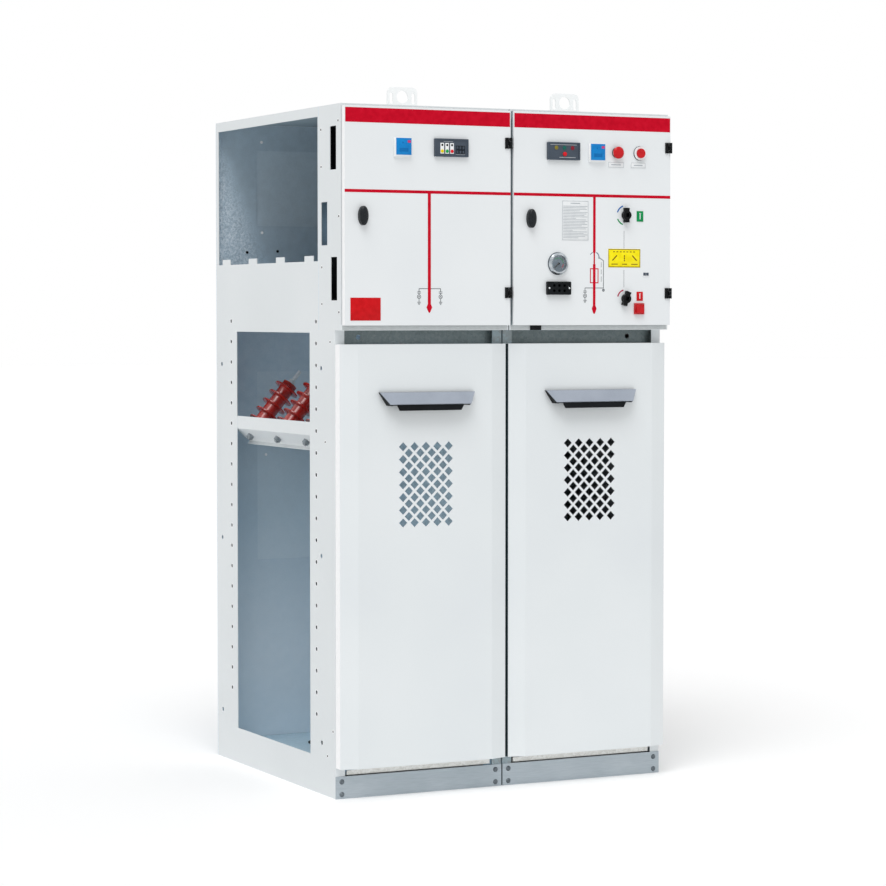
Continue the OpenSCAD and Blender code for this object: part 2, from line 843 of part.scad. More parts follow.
module right_upper_door() {
    color("whitesmoke") at_panel(1) upper_door() {
        device_cut(right_row[0], row_z, meter_w - 6, meter_h - 4);
        device_cut(right_row[1], row_z, module_w - 6, module_w - 6);
        for (u = button_row) translate([u, row_z]) circle(r = stem_r + bezel_wall);
        translate([gauge_at[0], box_z + gauge_at[1]]) circle(r = dial_r + 2 + seat_gap);
        device_cut(socket_at[0], box_z + socket_at[1], socket_size[0] - 14, socket_size[1] - 10);
        device_cut(trip_at[0], box_z + trip_at[1], trip_w, trip_w);
        for (z = knob_heights) translate([knob_u, box_z + z]) circle(r = shaft_r + run_fit);
    }
}

module hinge_leaves() {
    for (z = hinge_heights) translate([0, 0, z]) hinge_leaf();
}

module left_hinge_leaves() {
    color("black") at_panel(0) hinge_leaves();
}

module right_hinge_leaves() {
    color("black") at_panel(1) hinge_leaves();
}

// Oval handle in front of the door, shaft through it, and the cam that hangs behind it
module quarter_turn_lock() {
    translate([lock_u, 0, door_mid]) {
        facing(door_front - lock_t, lock_t - seat_gap) oval(lock_w, lock_h);
        back_rod(0, door_front - lock_t / 2, 0, lock_shaft_r, cam_v + cam_t - door_front + lock_t / 2 + 4);
        back_rod(0, door_front + door_t + seat_gap, 0, lock_shaft_r + 3, 5);
        facing(cam_v, cam_t) {
            circle(r = lock_shaft_r + 2);
            area([-lock_shaft_r, -cam_l], [lock_shaft_r, 0]);
        }
    }
}

module left_lock() {
    color("black") at_panel(0) quarter_turn_lock();
}

module right_lock() {
    color("black") at_panel(1) quarter_turn_lock();
}

// A panel device: a front frame on the door and a body through its cut-out
module door_device(u, z, w, h, t, margin) {
    translate([u, 0, z]) {
        facing(door_front - t, t) soft_square(w, h, 2);
        facing(door_front, device_depth) {
            square([w - margin - 2 * seat_gap, h - margin - 2 * seat_gap], center = true);
        }
    }
}

module display_module(u) {
    difference() {
        door_device(u, row_z, module_w, module_w, module_t, 6);
        translate([u, 0, row_z]) facing(door_front - module_t - 1, 2) square(module_w - 9, center = true);
    }
}

module left_module() {
    color("deepskyblue") at_panel(0) display_module(left_row[0]);
}

module right_module() {
    color("deepskyblue") at_panel(1) display_module(right_row[1]);
}

// A wide indicator with a sunk front inside a raised frame
module meter(u) {
    frame_w = 4;
    translate([u, 0, row_z]) difference() {
        union() {
            facing(door_front - meter_t, meter_t) soft_square(meter_w, meter_h, 2);
            facing(door_front, device_depth) {
                square([meter_w - 6 - 2 * seat_gap, meter_h - 4 - 2 * seat_gap], center = true);
            }
        }
        facing(door_front - meter_t - 1, 2.5) {
            square([meter_w - 2 * frame_w, meter_h - 2 * frame_w], center = true);
        }
        children();
    }
}

module live_line_indicator() {
    color("darkslategray") at_panel(0) meter(left_row[1]) {
        for (i = [-1:1]) {
            back_rod(socket_u + i * socket_pitch, door_front - meter_t - 1, -socket_drop,
                     socket_r, socket_depth);
        }
    }
}

socket_u = 26;
socket_drop = 4.6;
socket_pitch = 9;
socket_r = 3;
socket_depth = 6;
reset_u = 2.5;
reset_z = -8;
reset_r = 6;
reset_out = 3;
reset_in = 3.5;

module fault_indicator() {
    color("darkslategray") at_panel(1) meter(right_row[0]) {
        back_rod(reset_u, door_front - meter_t - 1, reset_z, reset_r + run_fit, meter_t);
    }
}

module fault_reset_button() {
    color("red") at_panel(1) translate([right_row[0] + reset_u, door_front - meter_t, row_z + reset_z]) {
        rotate([-90, 0, 0]) rotate_extrude() polygon([[0, -reset_out], [reset_r / 2, -reset_out],
            [0.85 * reset_r, -0.6 * reset_out], [reset_r, 0], [reset_r, reset_in], [0, reset_in]]);
    }
}

// Bezel with the tube through the door and the nut behind it
module round_bezel(u, r, t) {
    translate([u, door_front, row_z]) rotate([-90, 0, 0]) difference() {
        union() {
            translate([0, 0, -t]) cylinder(r = r, h = t);
            cylinder(r = stem_r + bezel_wall - seat_gap, h = bezel_tube);
            translate([0, 0, door_t]) {
                cylinder(r = stem_r + bezel_wall + bezel_nut_w, h = bezel_nut_t, $fn = 6);
            }
        }
        translate([0, 0, -t - 1]) cylinder(r = stem_r + run_fit, h = bezel_tube + t + 2);
        children();
    }
}

mushroom_bezel_t = 4;
cap_bezel_t = 6;
trip_bezel_t = 6;
bezel_tube = 22;
bezel_wall = 3;
bezel_nut_t = 6;
bezel_nut_w = 4;

module trip_bezel() {
    outer = trip_w + 2 * trip_frame;
    translate([trip_at[0], 0, box_z + trip_at[1]]) difference() {
        union() {
            facing(door_front - trip_bezel_t, trip_bezel_t) soft_square(outer, outer, 2);
            facing(door_front, bezel_tube) square(trip_w - 2 * seat_gap, center = true);
        }
        facing(door_front - trip_bezel_t - 1, trip_bezel_t + 0.5) square(trip_w + 2 * seat_gap, center = true);
        back_rod(0, door_front - trip_bezel_t, 0, stem_r + run_fit, trip_bezel_t + bezel_tube + 1);
    }
}

module button_bezels() {
    color("gainsboro") at_panel(1) {
        round_bezel(button_row[0], mushroom_r - 3, mushroom_bezel_t);
        round_bezel(button_row[1], bezel_r, cap_bezel_t) {
            translate([0, 0, -cap_bezel_t - 1]) cylinder(r = cap_r + seat_gap, h = cap_bezel_t + 0.5);
        }
        trip_bezel();
    }
}

// Stem that runs through a bezel's tube
module button_stem(front) {
    translate([0, 0, front]) cylinder(r = stem_r, h = bezel_tube - 2 - front);
}

module start_button() {
    gap = push + 1;
    at = [button_row[0], door_front - mushroom_bezel_t, row_z];
    color("red") at_panel(1) translate(at) rotate([-90, 0, 0]) {
        rotate_extrude() polygon([[0, -gap - 6], [mushroom_r - 4, -gap - 6], [mushroom_r, -gap - 3],
                                  [mushroom_r, -gap], [0, -gap]]);
        button_stem(-gap - 1);
    }
}

module stop_button() {
    depth = cap_bezel_t - 0.5;
    travel = push + 0.5;
    color("red") at_panel(1) translate([button_row[1], door_front - cap_bezel_t, row_z]) rotate([-90, 0, 0]) {
        translate([0, 0, depth - travel - 5]) cylinder(r = cap_r, h = 5);
        button_stem(depth - travel - 1);
    }
}

module trip_button() {
    depth = trip_bezel_t - 0.5;
    travel = push + 0.5;
    color("red") at_panel(1) translate([trip_at[0], door_front - trip_bezel_t, box_z + trip_at[1]]) {
        facing(depth - travel - 5, 5) soft_square(trip_w, trip_w, 1.5);
        rotate([-90, 0, 0]) button_stem(depth - travel - 1);
    }
}

// Gas gauge

needle_hub_r = 3;
spindle_r = 1.2;
dial_depth = 6;
gauge_t = 9;

module gauge_case() {
    at = [gauge_at[0], door_front, box_z + gauge_at[1]];
    color("silver") at_panel(1) translate(at) rotate([-90, 0, 0]) {
        difference() {
            union() {
                translate([0, 0, -gauge_t]) cylinder(r1 = gauge_r - 3, r2 = gauge_r, h = 4);
                translate([0, 0, -gauge_t + 4]) cylinder(r = gauge_r, h = gauge_t - 4);
                cylinder(r = dial_r + 2, h = device_depth);
            }
            translate([0, 0, -gauge_t - 1]) cylinder(r = dial_r, h = dial_depth + 1);
        }
        translate([0, 0, -gauge_t + 1]) cylinder(r = spindle_r, h = dial_depth);
    }
}

module gauge_needle() {
    color("white") at_panel(1) translate([gauge_at[0], 0, box_z + gauge_at[1]]) {
        hub_v = door_front - gauge_t + dial_depth - 2.5;
        difference() {
            union() {
                back_rod(0, hub_v, 0, needle_hub_r, 2);
                facing(hub_v + 0.5, 1) rotate(-45) {
                    polygon([[-0.4, 4 - dial_r], [0.4, 4 - dial_r], [1.2, 0], [-1.2, 0]]);
                }
            }
            back_rod(0, hub_v - 1, 0, spindle_r + run_fit, 4);
        }
    }
}

module socket_block() {
    color("black") at_panel(1) translate([socket_at[0], 0, box_z + socket_at[1]]) difference() {
        union() {
            facing(door_front - 10, 10) soft_square(socket_size[0], socket_size[1], 3);
            facing(door_front, device_depth - 10) {
                square([socket_size[0] - 14 - 2 * seat_gap, socket_size[1] - 10 - 2 * seat_gap], center = true);
            }
        }
        for (i = [-1:1], s = [-1, 1]) back_rod(i * 16, door_front - 11, s * 7, 4, 16);
    }
}

// Knobs on the door and the shafts behind it, joined by a tongue in a slot

// The two ears of a knob, wider at their ends
module knob_ears() {
    for (s = [-1, 1]) {
        polygon([[-ear_neck / 2, 0], [-ear_tip / 2, s * knob_span / 2], [ear_tip / 2, s * knob_span / 2],
                 [ear_neck / 2, 0]]);
    }
}

module knob(z, turn) {
    translate([knob_u, 0, box_z + z]) difference() {
        union() {
            facing(door_front - knob_t, knob_t - seat_gap) {
                circle(r = knob_r);
                rotate(-turn) knob_ears();
            }
            back_rod(0, door_front - knob_t / 2, 0, shaft_r, dog_v - door_front + knob_t / 2);
            back_rod(0, door_front + door_t + seat_gap, 0, shaft_r + 4, 5);
        }
        facing(door_front - knob_t - 1, 9) rotate(-turn) square(11, center = true);
        block([-knob_r - 2, dog_v - 8, -dog_t / 2 - seat_gap], [knob_r + 2, dog_v + 1, dog_t / 2 + seat_gap]);
    }
}

module load_knob() {
    color("black") at_panel(1) knob(knob_heights[0], knob_turns[0]);
}

module earth_knob() {
    color("black") at_panel(1) knob(knob_heights[1], knob_turns[1]);
}

module drive_shaft(z, end) {
    translate([knob_u, 0, box_z + z]) {
        back_rod(0, dog_v + 0.5, 0, shaft_r, end - dog_v - 0.5);
        intersection() {
            back_rod(0, dog_v - 7, 0, shaft_r, 20);
            block([-shaft_r, dog_v - 7, -dog_t / 2], [shaft_r, dog_v + 3, dog_t / 2]);
        }
    }
}

module load_shaft() {
    color("silver") at_panel(1) drive_shaft(knob_heights[0], box_back - seat_gap);
}

module earth_shaft() {
    color("silver") at_panel(1) drive_shaft(knob_heights[1], tank_v0 - tank_flange_end - seat_gap);
}

module mechanism_housing() {
    low = [knob_u - housing_margin, box_back - housing_d, box_z + knob_heights[1] - housing_margin];
    high = [knob_u + housing_margin, box_back, box_z + knob_heights[0] + housing_margin];
    color("lightgray") at_panel(1) difference() {
        union() {
            difference() {
                block(low, high);
                block([low[0] + sheet_t, low[1] + sheet_t, low[2] + sheet_t],
                      [high[0] - sheet_t, high[1] + 1, high[2] - sheet_t]);
            }
            for (z = knob_heights) back_rod(knob_u, low[1] - 8, box_z + z, shaft_r + 8, 44);
        }
        for (z = knob_heights) back_rod(knob_u, low[1] - 20, box_z + z, shaft_r + run_fit, housing_d);
    }
}

// Lower doors

bevel_angle = atan(bevel_d / bevel_w);

// The folded sheet's outline in u and v, its outer side or its inner side
module low_profile(inset) {
    edge_u = low_half - inset;
    edge_v = -low_out + bevel_d + inset * tan((90 - bevel_angle) / 2);
    face_u = low_half - bevel_w - inset * tan(bevel_angle / 2);
    face_v = -low_out + inset;
    back = low_back + (inset > 0 ? 1 : 0);
    polygon([[-edge_u, back], [-edge_u, edge_v], [-face_u, face_v],
             [face_u, face_v], [edge_u, edge_v], [edge_u, back]]);
}

module grille() {
    row_pitch = diamond_pitch / 2;
    for (i = [0:2 * diamond_rows - 2]) {
        count = diamond_columns - i % 2;
        for (j = [0:count - 1]) {
            translate([(j - (count - 1) / 2) * diamond_pitch, 0, (i - diamond_rows + 1) * row_pitch]) {
                rotate([-90, 0, 0]) cylinder(d = diamond, h = 4 * door_t, center = true, $fn = 4);
            }
        }
    }
}

module door_hook() {
    root_v = -15;
    hang = 24;
    upright(hook_u, hook_t) {
        area([root_v, -hook_neck], [hook_reach + hook_neck, hook_neck]);
        area([hook_reach, -hook_neck - hang], [hook_reach + hook_neck, 0]);
    }
    upright(hook_u, hook_t + hook_edge - door_t / 2) area([root_v, -hook_neck], [low_back, hook_neck]);
}

module lower_door() {
    difference() {
        translate([0, 0, low_z]) linear_extrude(low_z1 - low_z) low_profile(0);
        translate([0, 0, low_z + door_t]) linear_extrude(low_z1 - low_z - 2 * door_t) low_profile(door_t);
        translate([0, -low_out + door_t / 2, low_z1 - grille_drop]) grille();
    }
    for (s = [0, 1], z = hook_heights) mirror([s, 0, 0]) translate([0, 0, z]) door_hook();
}

module left_lower_door() {
    color("whitesmoke") at_panel(0) lower_door();
}

module right_lower_door() {
    color("whitesmoke") at_panel(1) lower_door();
}

// Handle sections in a (out of the door's face) and b (down from the handle's upper edge)

slope_run = handle_d - handle_top_d;
slope_l = norm([slope_run, handle_h]);
slope_out = [handle_h / slope_l, slope_run / slope_l];
slope_k = handle_h / slope_run;

// A point under the sloped face: depth t below it, at a out of the door
function under(t, a) = [a, -(a - handle_top_d) * slope_k - t / slope_out[1]];

// A layer of the sloped face between two depths; the handle's outline trims its upper end
module handle_slab(t0, t1) {
    polygon([under(t0, 0), under(t0, handle_d - t0 * slope_out[0]),
             under(t1, handle_d - t1 * slope_out[0]), under(t1, 0)]);
}

// Runs a section drawn in a and b along the door's face
module along_face(w) {
    translate([-w / 2, -low_out, handle_z]) {
        rotate([90, 0, 90]) linear_extrude(w) mirror([1, 0, 0]) children();
    }
}

// The handle's outline seen from the front
module handle_front(margin) {
    slant = (handle_top_w - handle_low_w) / 2 / handle_h;
    half = handle_top_w / 2 - margin;
    translate([0, handle_z]) polygon([[-half, 0], [half, 0], [half - slant * handle_h, -handle_h],
        [half - slant * handle_h * 1.5, -handle_h * 1.5], [-half + slant * handle_h * 1.5, -handle_h * 1.5],
        [-half + slant * handle_h, -handle_h]]);
}

module handle_face() {
    intersection() {
        along_face(handle_top_w) handle_slab(0, face_t);
        facing(-low_out - handle_d - 1, handle_d + 2) handle_front(0);
    }
}

module handle_body() {
    lip_a = handle_d - face_t * slope_out[0];
    lip_top = under(face_t, lip_a)[1];
    wall_t = 6;
    wall_z = lip_top - 3;
    intersection() {
        along_face(handle_top_w) {
            handle_slab(face_t, face_t + body_t);
            area([0, -body_t], [handle_top_d - face_t / slope_out[0], 0]);
        }
        facing(-low_out - handle_d - 1, handle_d + 2) handle_front(0);
    }
    intersection() {
        along_face(handle_top_w) {
            polygon([under(face_t, 0), under(face_t, lip_a), [lip_a - 2, wall_z], [0, wall_z]]);
        }
        facing(-low_out - handle_d - 1, handle_d + 2) difference() {
            handle_front(0);
            handle_front(wall_t);
        }
    }
    intersection() {
        along_face(lip_w) area([lip_a - body_t, lip_top - lip_h], [lip_a, lip_top + 1]);
        along_face(lip_w) polygon([[0, lip_top - lip_h], [lip_a, lip_top - lip_h], [lip_a, lip_top],
                                   under(face_t, 0), [0, lip_top - lip_h]]);
        facing(-low_out - handle_d - 1, handle_d + 2) translate([0, handle_z + lip_top]) {
            polygon([[-lip_w / 2, 1], [-lip_w / 2, 0], [-lip_low_w / 2, -lip_h], [lip_low_w / 2, -lip_h],
                     [lip_w / 2, 0], [lip_w / 2, 1]]);
        }
    }
}

module left_handle_body() {
    color("black") at_panel(0) handle_body();
}

module left_handle_face() {
    color("silver") at_panel(0) handle_face();
}

module right_handle_body() {
    color("black") at_panel(1) handle_body();
}

module right_handle_face() {
    color("silver") at_panel(1) handle_face();
}

// Surge arresters on their bracket

arrester_top = shed_first + (shed_count - 1) * shed_pitch + arrester_head;
slope_u = -inner_w + bracket_t * sin(arrester_lean);

// Stands the children on the sloped plate at each phase, with z along the arrester
module at_arresters() {
    seat = [slope_u + arrester_seat * cos(arrester_lean),
            bracket_z - bracket_up - arrester_seat * sin(arrester_lean)];
    at_panel(0) for (v = phases) translate([seat[0], v, seat[1]]) rotate([0, arrester_lean, 0]) children();
}

module arrester_bracket() {
    lip = 12;
    v0 = cable_front - fix_edge / 2;
    v1 = cable_rear + fix_edge / 2;
    color("gainsboro") difference() {
        at_panel(0) facing(v0, v1 - v0) {
            translate([-inner_w, bracket_z - bracket_up - bracket_t]) {
                square([bracket_t, bracket_up + bracket_t]);
            }
            translate([slope_u, bracket_z - bracket_up]) rotate(-arrester_lean) {
                translate([0, -bracket_t]) square([bracket_slope, bracket_t]);
                translate([bracket_slope - bracket_t, -lip]) square([bracket_t, lip]);
            }
        }
        at_arresters() translate([0, 0, -2 * bracket_t]) cylinder(r = stud_r + 0.5, h = 3 * bracket_t);
    }
}

module arrester() {
    rotate_extrude() difference() {
        union() {
            square([core_r, arrester_top]);
            for (i = [0:shed_count - 1]) {
                translate([0, shed_first + i * shed_pitch]) {
                    polygon([[0, -5], [core_r, -5], [shed_r, -2.5], [shed_r, 0], [core_r, 6], [0, 6]]);
                }
            }
        }
        square([stud_r + seat_gap, 14]);
        translate([0, arrester_top - 14]) square([stud_r + seat_gap, 20]);
    }
}

module surge_arresters() {
    color("firebrick") at_arresters() translate([0, 0, seat_gap]) arrester();
}

module arrester_studs() {
    nut_h = 10;
    foot = -bracket_t;
    color("silver") at_arresters() {
        translate([0, 0, foot - nut_h - 4]) cylinder(r = stud_r, h = nut_h + 4 - foot + 10);
        translate([0, 0, foot - nut_h]) cylinder(r = 1.8 * stud_r, h = nut_h, $fn = 6);
        translate([0, 0, arrester_top - 12]) cylinder(r = stud_r, h = stud_out + 12);
        translate([0, 0, arrester_top + seat_gap]) {
            cylinder(r = 2.6 * stud_r, h = 3);
            translate([0, 0, 3]) cylinder(r = 1.8 * stud_r, h = nut_h, $fn = 6);
        }
    }
}

// Busbars, risers and insulators

// A ribbed insulator's half section from z 0 up, around a bore
module ribbed_section(bore, r0, r1, h, ribs) {
    polygon([[bore, 0], [r0, 0], [r1, h], [bore, h]]);
    for (i = [1:ribs]) {
        z = i * h / (ribs + 1);
        r = r0 + (r1 - r0) * z / h;
        polygon([[bore, z - 4], [r, z - 4], [r + 9, z - 1.5], [r + 9, z], [r, z + 4], [bore, z + 4]]);
    }
}

module wall_insulator() {
    bore = rod_r + 0.1;
    rotate_extrude() {
        translate([0, sheet_t]) ribbed_section(bore, 34, 24, insulator_h, 3);
        translate([0, sheet_t]) area([bore, 0], [48, 10]);
        area([bore, -1], [30, sheet_t + 1]);
        mirror([0, 1]) ribbed_section(bore, 30, 22, insulator_h, 3);
    }
}

module post_insulator() {
    rotate_extrude() ribbed_section(0, 34, 30, post_h, 3);
}

module epoxy_insulators() {
    color("saddlebrown") {
        at_panel(0) for (v = phases) translate([riser_u, v + busbar_t, shelf_z]) wall_insulator();
        at_panel(1) for (v = phases) translate([0, v + busbar_t, post_z]) post_insulator();
    }
}

// A flat copper bar that meets a busbar's rear face
module riser_bar(z0) {
    block([-riser_w / 2, -busbar_t / 2, z0], [riser_w / 2, busbar_t / 2, bus_z + busbar_h / 2]);
}

module riser_bars() {
    rod_top = shelf_z + sheet_t + insulator_h + 12;
    color("peru") at_panel(0) for (v = phases) translate([riser_u, v + busbar_t, 0]) {
        rod_low = shelf_z - insulator_h - 30;
        translate([0, 0, rod_low]) cylinder(r = rod_r, h = rod_top - rod_low);
        riser_bar(rod_top - 6);
        translate([0, 0, shelf_z + sheet_t + insulator_h]) cylinder(r = rod_r + 6, h = 6, $fn = 6);
    }
}

module busbars() {
    x0 = panel_x(0) + riser_u - riser_w / 2;
    x1 = panel_x(1) + riser_w / 2;
    color("peru") translate([0, front_y, 0]) for (v = phases) {
        block([x0, v - busbar_t / 2, bus_z - busbar_h / 2], [x1, v + busbar_t / 2, bus_z + busbar_h / 2]);
    }
}

// Load-break switch: two cast half shells with three bushings each, and the fuses under it

module tank_half() {
    intersection() {
        back_rod(0, tank_v0, 0, tank_r, tank_v1 - tank_v0);
        block([-tank_r, tank_v0, 0], [tank_r, tank_v1, tank_r]);
    }
    block([-tank_r - tank_flange_w, tank_v0 - tank_flange_end, 0],
          [tank_r + tank_flange_w, tank_v1 + tank_flange_end, tank_flange_t]);
    for (v = phases) translate([0, v + busbar_t, bushing_z - 5]) rotate_extrude() {
        ribbed_section(0, 50, 34, bushing_h + 5, 2);
    }
}

module switch_upper_shell() {
    color("saddlebrown") at_panel(1) translate([0, 0, tank_z]) tank_half();
}

module switch_lower_shell() {
    color("saddlebrown") at_panel(1) translate([0, 0, tank_z]) mirror([0, 0, 1]) tank_half();
}

// Cup that takes a fuse cap from below, its closed end at z 0
module fuse_cup() {
    difference() {
        translate([0, 0, -cup_h]) cylinder(r = fuse_cap_r + cup_t / 2, h = cup_h);
        translate([0, 0, -cup_h - 1]) cylinder(r = fuse_cap_r + 0.1, h = cup_h - cup_t + 1);
    }
}

module switch_terminals() {
    top = tank_z + bushing_z + bushing_h;
    bottom = tank_z - bushing_z - bushing_h;
    color("peru") at_panel(1) for (v = phases) translate([0, v + busbar_t, 0]) {
        translate([0, 0, top]) cylinder(r = riser_w / 2, h = 8);
        riser_bar(top + 4);
        translate([0, 0, fuse_top]) cylinder(r = rod_r, h = bottom - fuse_top);
        translate([0, 0, fuse_top + cup_t]) fuse_cup();
        translate([0, 0, fuse_bottom - cup_t]) mirror([0, 0, 1]) fuse_cup();
    }
}

module fuse_links() {
    cap_l = 33;
    color("white") at_panel(1) for (v = phases) translate([0, v + busbar_t, fuse_bottom + seat_gap]) {
        cylinder(r = fuse_cap_r, h = fuse_l - 2 * seat_gap);
        translate([0, 0, cap_l]) cylinder(r = fuse_r, h = fuse_l - 2 * cap_l);
    }
}

module fuse_bracket() {
    edge = 45;
    wall_leg = 60;
    lip = 20;
    color("lightslategray") at_panel(1) facing(phases[0] - edge, 2 * phase_pitch + 2 * edge) {
        area([-edge, post_z - bracket_t], [inner_w, post_z]);
        area([inner_w - bracket_t, post_z - wall_leg], [inner_w, post_z]);
        area([-edge, post_z - lip], [-edge + bracket_t, post_z]);
    }
}

left_side_plate();
inner_side_plates();
right_side_plate();
rear_walls();
rear_covers();
roof_plates();
lifting_lugs();
base_rails();
floor_plates();
cable_grommets();
plinths();
plinth_bolts();
bottom_rails();
header_rails();
partitions();
coupling_bolts();
box_shells();
hinge_brackets();
hinge_pins();
interlock_guide();
epoxy_insulators();
riser_bars();
busbars();
arrester_bracket();
surge_arresters();
arrester_studs();
switch_upper_shell();
switch_lower_shell();
switch_terminals();
fuse_links();
fuse_bracket();
mechanism_housing();
load_shaft();
earth_shaft();
left_upper_door();
left_hinge_leaves();
left_lock();
left_module();
live_line_indicator();
right_upper_door();
right_hinge_leaves();
right_lock();
right_module();
fault_indicator();
fault_reset_button();
button_bezels();
start_button();
stop_button();
trip_button();
gauge_case();
gauge_needle();
socket_block();
load_knob();
earth_knob();
left_lower_door();
left_handle_body();
left_handle_face();
right_lower_door();
right_handle_body();
right_handle_face();
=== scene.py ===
# Ring main unit: two coupled switchgear panels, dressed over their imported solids.
# Metres, +Z up, doors towards -Y.
import math

import bmesh
import bpy
from mathutils import Matrix, Vector


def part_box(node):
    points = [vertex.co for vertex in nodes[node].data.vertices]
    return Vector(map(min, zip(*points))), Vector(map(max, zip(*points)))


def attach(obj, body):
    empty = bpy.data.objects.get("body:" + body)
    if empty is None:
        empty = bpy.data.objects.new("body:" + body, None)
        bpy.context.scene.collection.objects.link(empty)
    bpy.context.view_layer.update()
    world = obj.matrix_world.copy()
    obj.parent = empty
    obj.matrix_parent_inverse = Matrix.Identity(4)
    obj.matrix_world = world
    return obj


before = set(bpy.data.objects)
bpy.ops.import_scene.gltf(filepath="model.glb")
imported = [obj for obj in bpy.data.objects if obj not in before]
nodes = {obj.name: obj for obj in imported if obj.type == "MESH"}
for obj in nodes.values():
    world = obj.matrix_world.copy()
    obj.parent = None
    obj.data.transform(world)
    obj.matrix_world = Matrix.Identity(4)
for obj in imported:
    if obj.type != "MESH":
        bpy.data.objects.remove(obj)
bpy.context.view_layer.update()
MM = 0.001


# Galvanised sheets: inner side plates, rear walls, shelves, floors, rails and brackets are folded
# from hot-dip galvanised steel and left bare, so the zinc's spangle shows in soft blue-grey flakes.
# Higher parts are painted brighter as light, and the inner faces of the rear walls carry painted light and
# shade. The front flanges of the inner side plates and the header rails are painted darker as shade, and
# the bottom rails are paler.

def shade(code):
    """A screen colour such as E2E6E8 as the linear colour that a shader takes."""
    channels = [int(code[i:i + 2], 16) / 255 for i in (0, 2, 4)]
    linear = [c / 12.92 if c <= 0.04045 else ((c + 0.055) / 1.055) ** 2.4 for c in channels]
    return (*linear, 1.0)


class Finish:
    """A paint, plastic or metal whose patterns follow the piece's own coordinates."""

    def __init__(self, name, roughness, metallic=0.0, coat=0.0, shine=0.5):
        self.material = bpy.data.materials.new(name)
        self.material.use_nodes = True
        self.tree = self.material.node_tree
        self.shader = self.tree.nodes["Principled BSDF"]
        self.shader.inputs["Roughness"].default_value = roughness
        self.shader.inputs["Metallic"].default_value = metallic
        self.shader.inputs["Coat Weight"].default_value = coat
        self.shader.inputs["Specular IOR Level"].default_value = shine
        self.coords = self.tree.nodes.new("ShaderNodeTexCoord").outputs["Object"]

    def mapped(self, stretch):
        """The piece's coordinates, stretched along its axes."""
        place = self.tree.nodes.new("ShaderNodeMapping")
        place.inputs["Scale"].default_value = stretch
        self.tree.links.new(self.coords, place.inputs["Vector"])
        return place.outputs["Vector"]

    def noise(self, scale, detail=2.0, stretch=(1, 1, 1)):
        """Soft clouds, or a grain where the scale is high."""
        texture = self.tree.nodes.new("ShaderNodeTexNoise")
        texture.inputs["Scale"].default_value = scale
        texture.inputs["Detail"].default_value = detail
        self.tree.links.new(self.mapped(stretch), texture.inputs["Vector"])
        return texture.outputs["Fac"]

    def flakes(self, scale, stretch=(1, 1, 1)):
        """Crystals of one grey each, as zinc grows them."""
        texture = self.tree.nodes.new("ShaderNodeTexVoronoi")
        texture.inputs["Scale"].default_value = scale
        self.tree.links.new(self.mapped(stretch), texture.inputs["Vector"])
        parts = self.tree.nodes.new("ShaderNodeSeparateColor")
        self.tree.links.new(texture.outputs["Color"], parts.inputs["Color"])
        return parts.outputs["Red"]

    def span(self, pattern, low, high, start=0.3, end=0.7):
        """Stretches a pattern's range to another one."""
        spread = self.tree.nodes.new("ShaderNodeMapRange")
        spread.inputs["From Min"].default_value = start
        spread.inputs["From Max"].default_value = end
        spread.inputs["To Min"].default_value = low
        spread.inputs["To Max"].default_value = high
        self.tree.links.new(pattern, spread.inputs["Value"])
        return spread.outputs["Result"]

    def slope(self, direction, start, end):
        """Rises from 0 to 1 between two places along a direction."""
        reach = self.tree.nodes.new("ShaderNodeVectorMath")
        reach.operation = "DOT_PRODUCT"
        reach.inputs[1].default_value = direction
        self.tree.links.new(self.coords, reach.inputs[0])
        return self.span(reach.outputs["Value"], 0.0, 1.0, start, end)

    def both(self, first, second, share=0.5, by=None):
        """Mixes two patterns by a fixed share or by a third pattern."""
        mix = self.tree.nodes.new("ShaderNodeMix")
        mix.inputs["Factor"].default_value = share
        self.tree.links.new(first, mix.inputs["A"])
        self.tree.links.new(second, mix.inputs["B"])
        if by is not None:
            self.tree.links.new(by, mix.inputs["Factor"])
        return mix.outputs["Result"]

    def tint(self, pattern, *codes, low=0.3, high=0.7):
        """Colours a pattern from its low to its high values."""
        ramp = self.tree.nodes.new("ShaderNodeValToRGB")
        stops = ramp.color_ramp.elements
        while len(stops) < len(codes):
            stops.new(0.5)
        for i, code in enumerate(codes):
            stops[i].position = low + (high - low) * i / (len(codes) - 1)
            stops[i].color = shade(code)
        self.tree.links.new(pattern, ramp.inputs["Fac"])
        self.tree.links.new(ramp.outputs["Color"], self.shader.inputs["Base Color"])

    def gloss(self, pattern, low, high):
        """Varies the roughness with a pattern."""
        self.tree.links.new(self.span(pattern, low, high), self.shader.inputs["Roughness"])

    def relief(self, pattern, depth, strength):
        """Raises a pattern as fine bumps."""
        bump = self.tree.nodes.new("ShaderNodeBump")
        bump.inputs["Strength"].default_value = strength
        bump.inputs["Distance"].default_value = depth
        self.tree.links.new(pattern, bump.inputs["Height"])
        self.tree.links.new(bump.outputs["Normal"], self.shader.inputs["Normal"])


def dress(finish, *names):
    """Gives solids of the frame their finish."""
    for name in names:
        nodes[name].data.materials.clear()
        nodes[name].data.materials.append(finish.material)


def spangled(name, metallic=0.2, share=0.5):
    """A bare zinc finish, and its pattern of flakes under a fine grain."""
    made = Finish(name, roughness=0.5, metallic=metallic)
    return made, made.both(made.flakes(150), made.noise(260, 3), share)


ZINC = ("AEC9D6", "C7DBE7", "DFEAF3")
# Painted light: the zinc is painted brighter from 1.15 m up to 1.35 m, where more light falls inside.
PAINTED_LIGHT_UP = (1.15, 1.35)
galvanised, spangle = spangled("galvanised_sheet")
galvanised.tint(galvanised.both(spangle, galvanised.slope((0, 0, 1), *PAINTED_LIGHT_UP), 0.35),
                *ZINC, low=0.15, high=0.85)
galvanised.gloss(spangle, 0.38, 0.58)
galvanised.relief(spangle, 0.0001, 0.4)
dress(galvanised, "floor_plates", "partitions", "base_rails", "fuse_bracket")

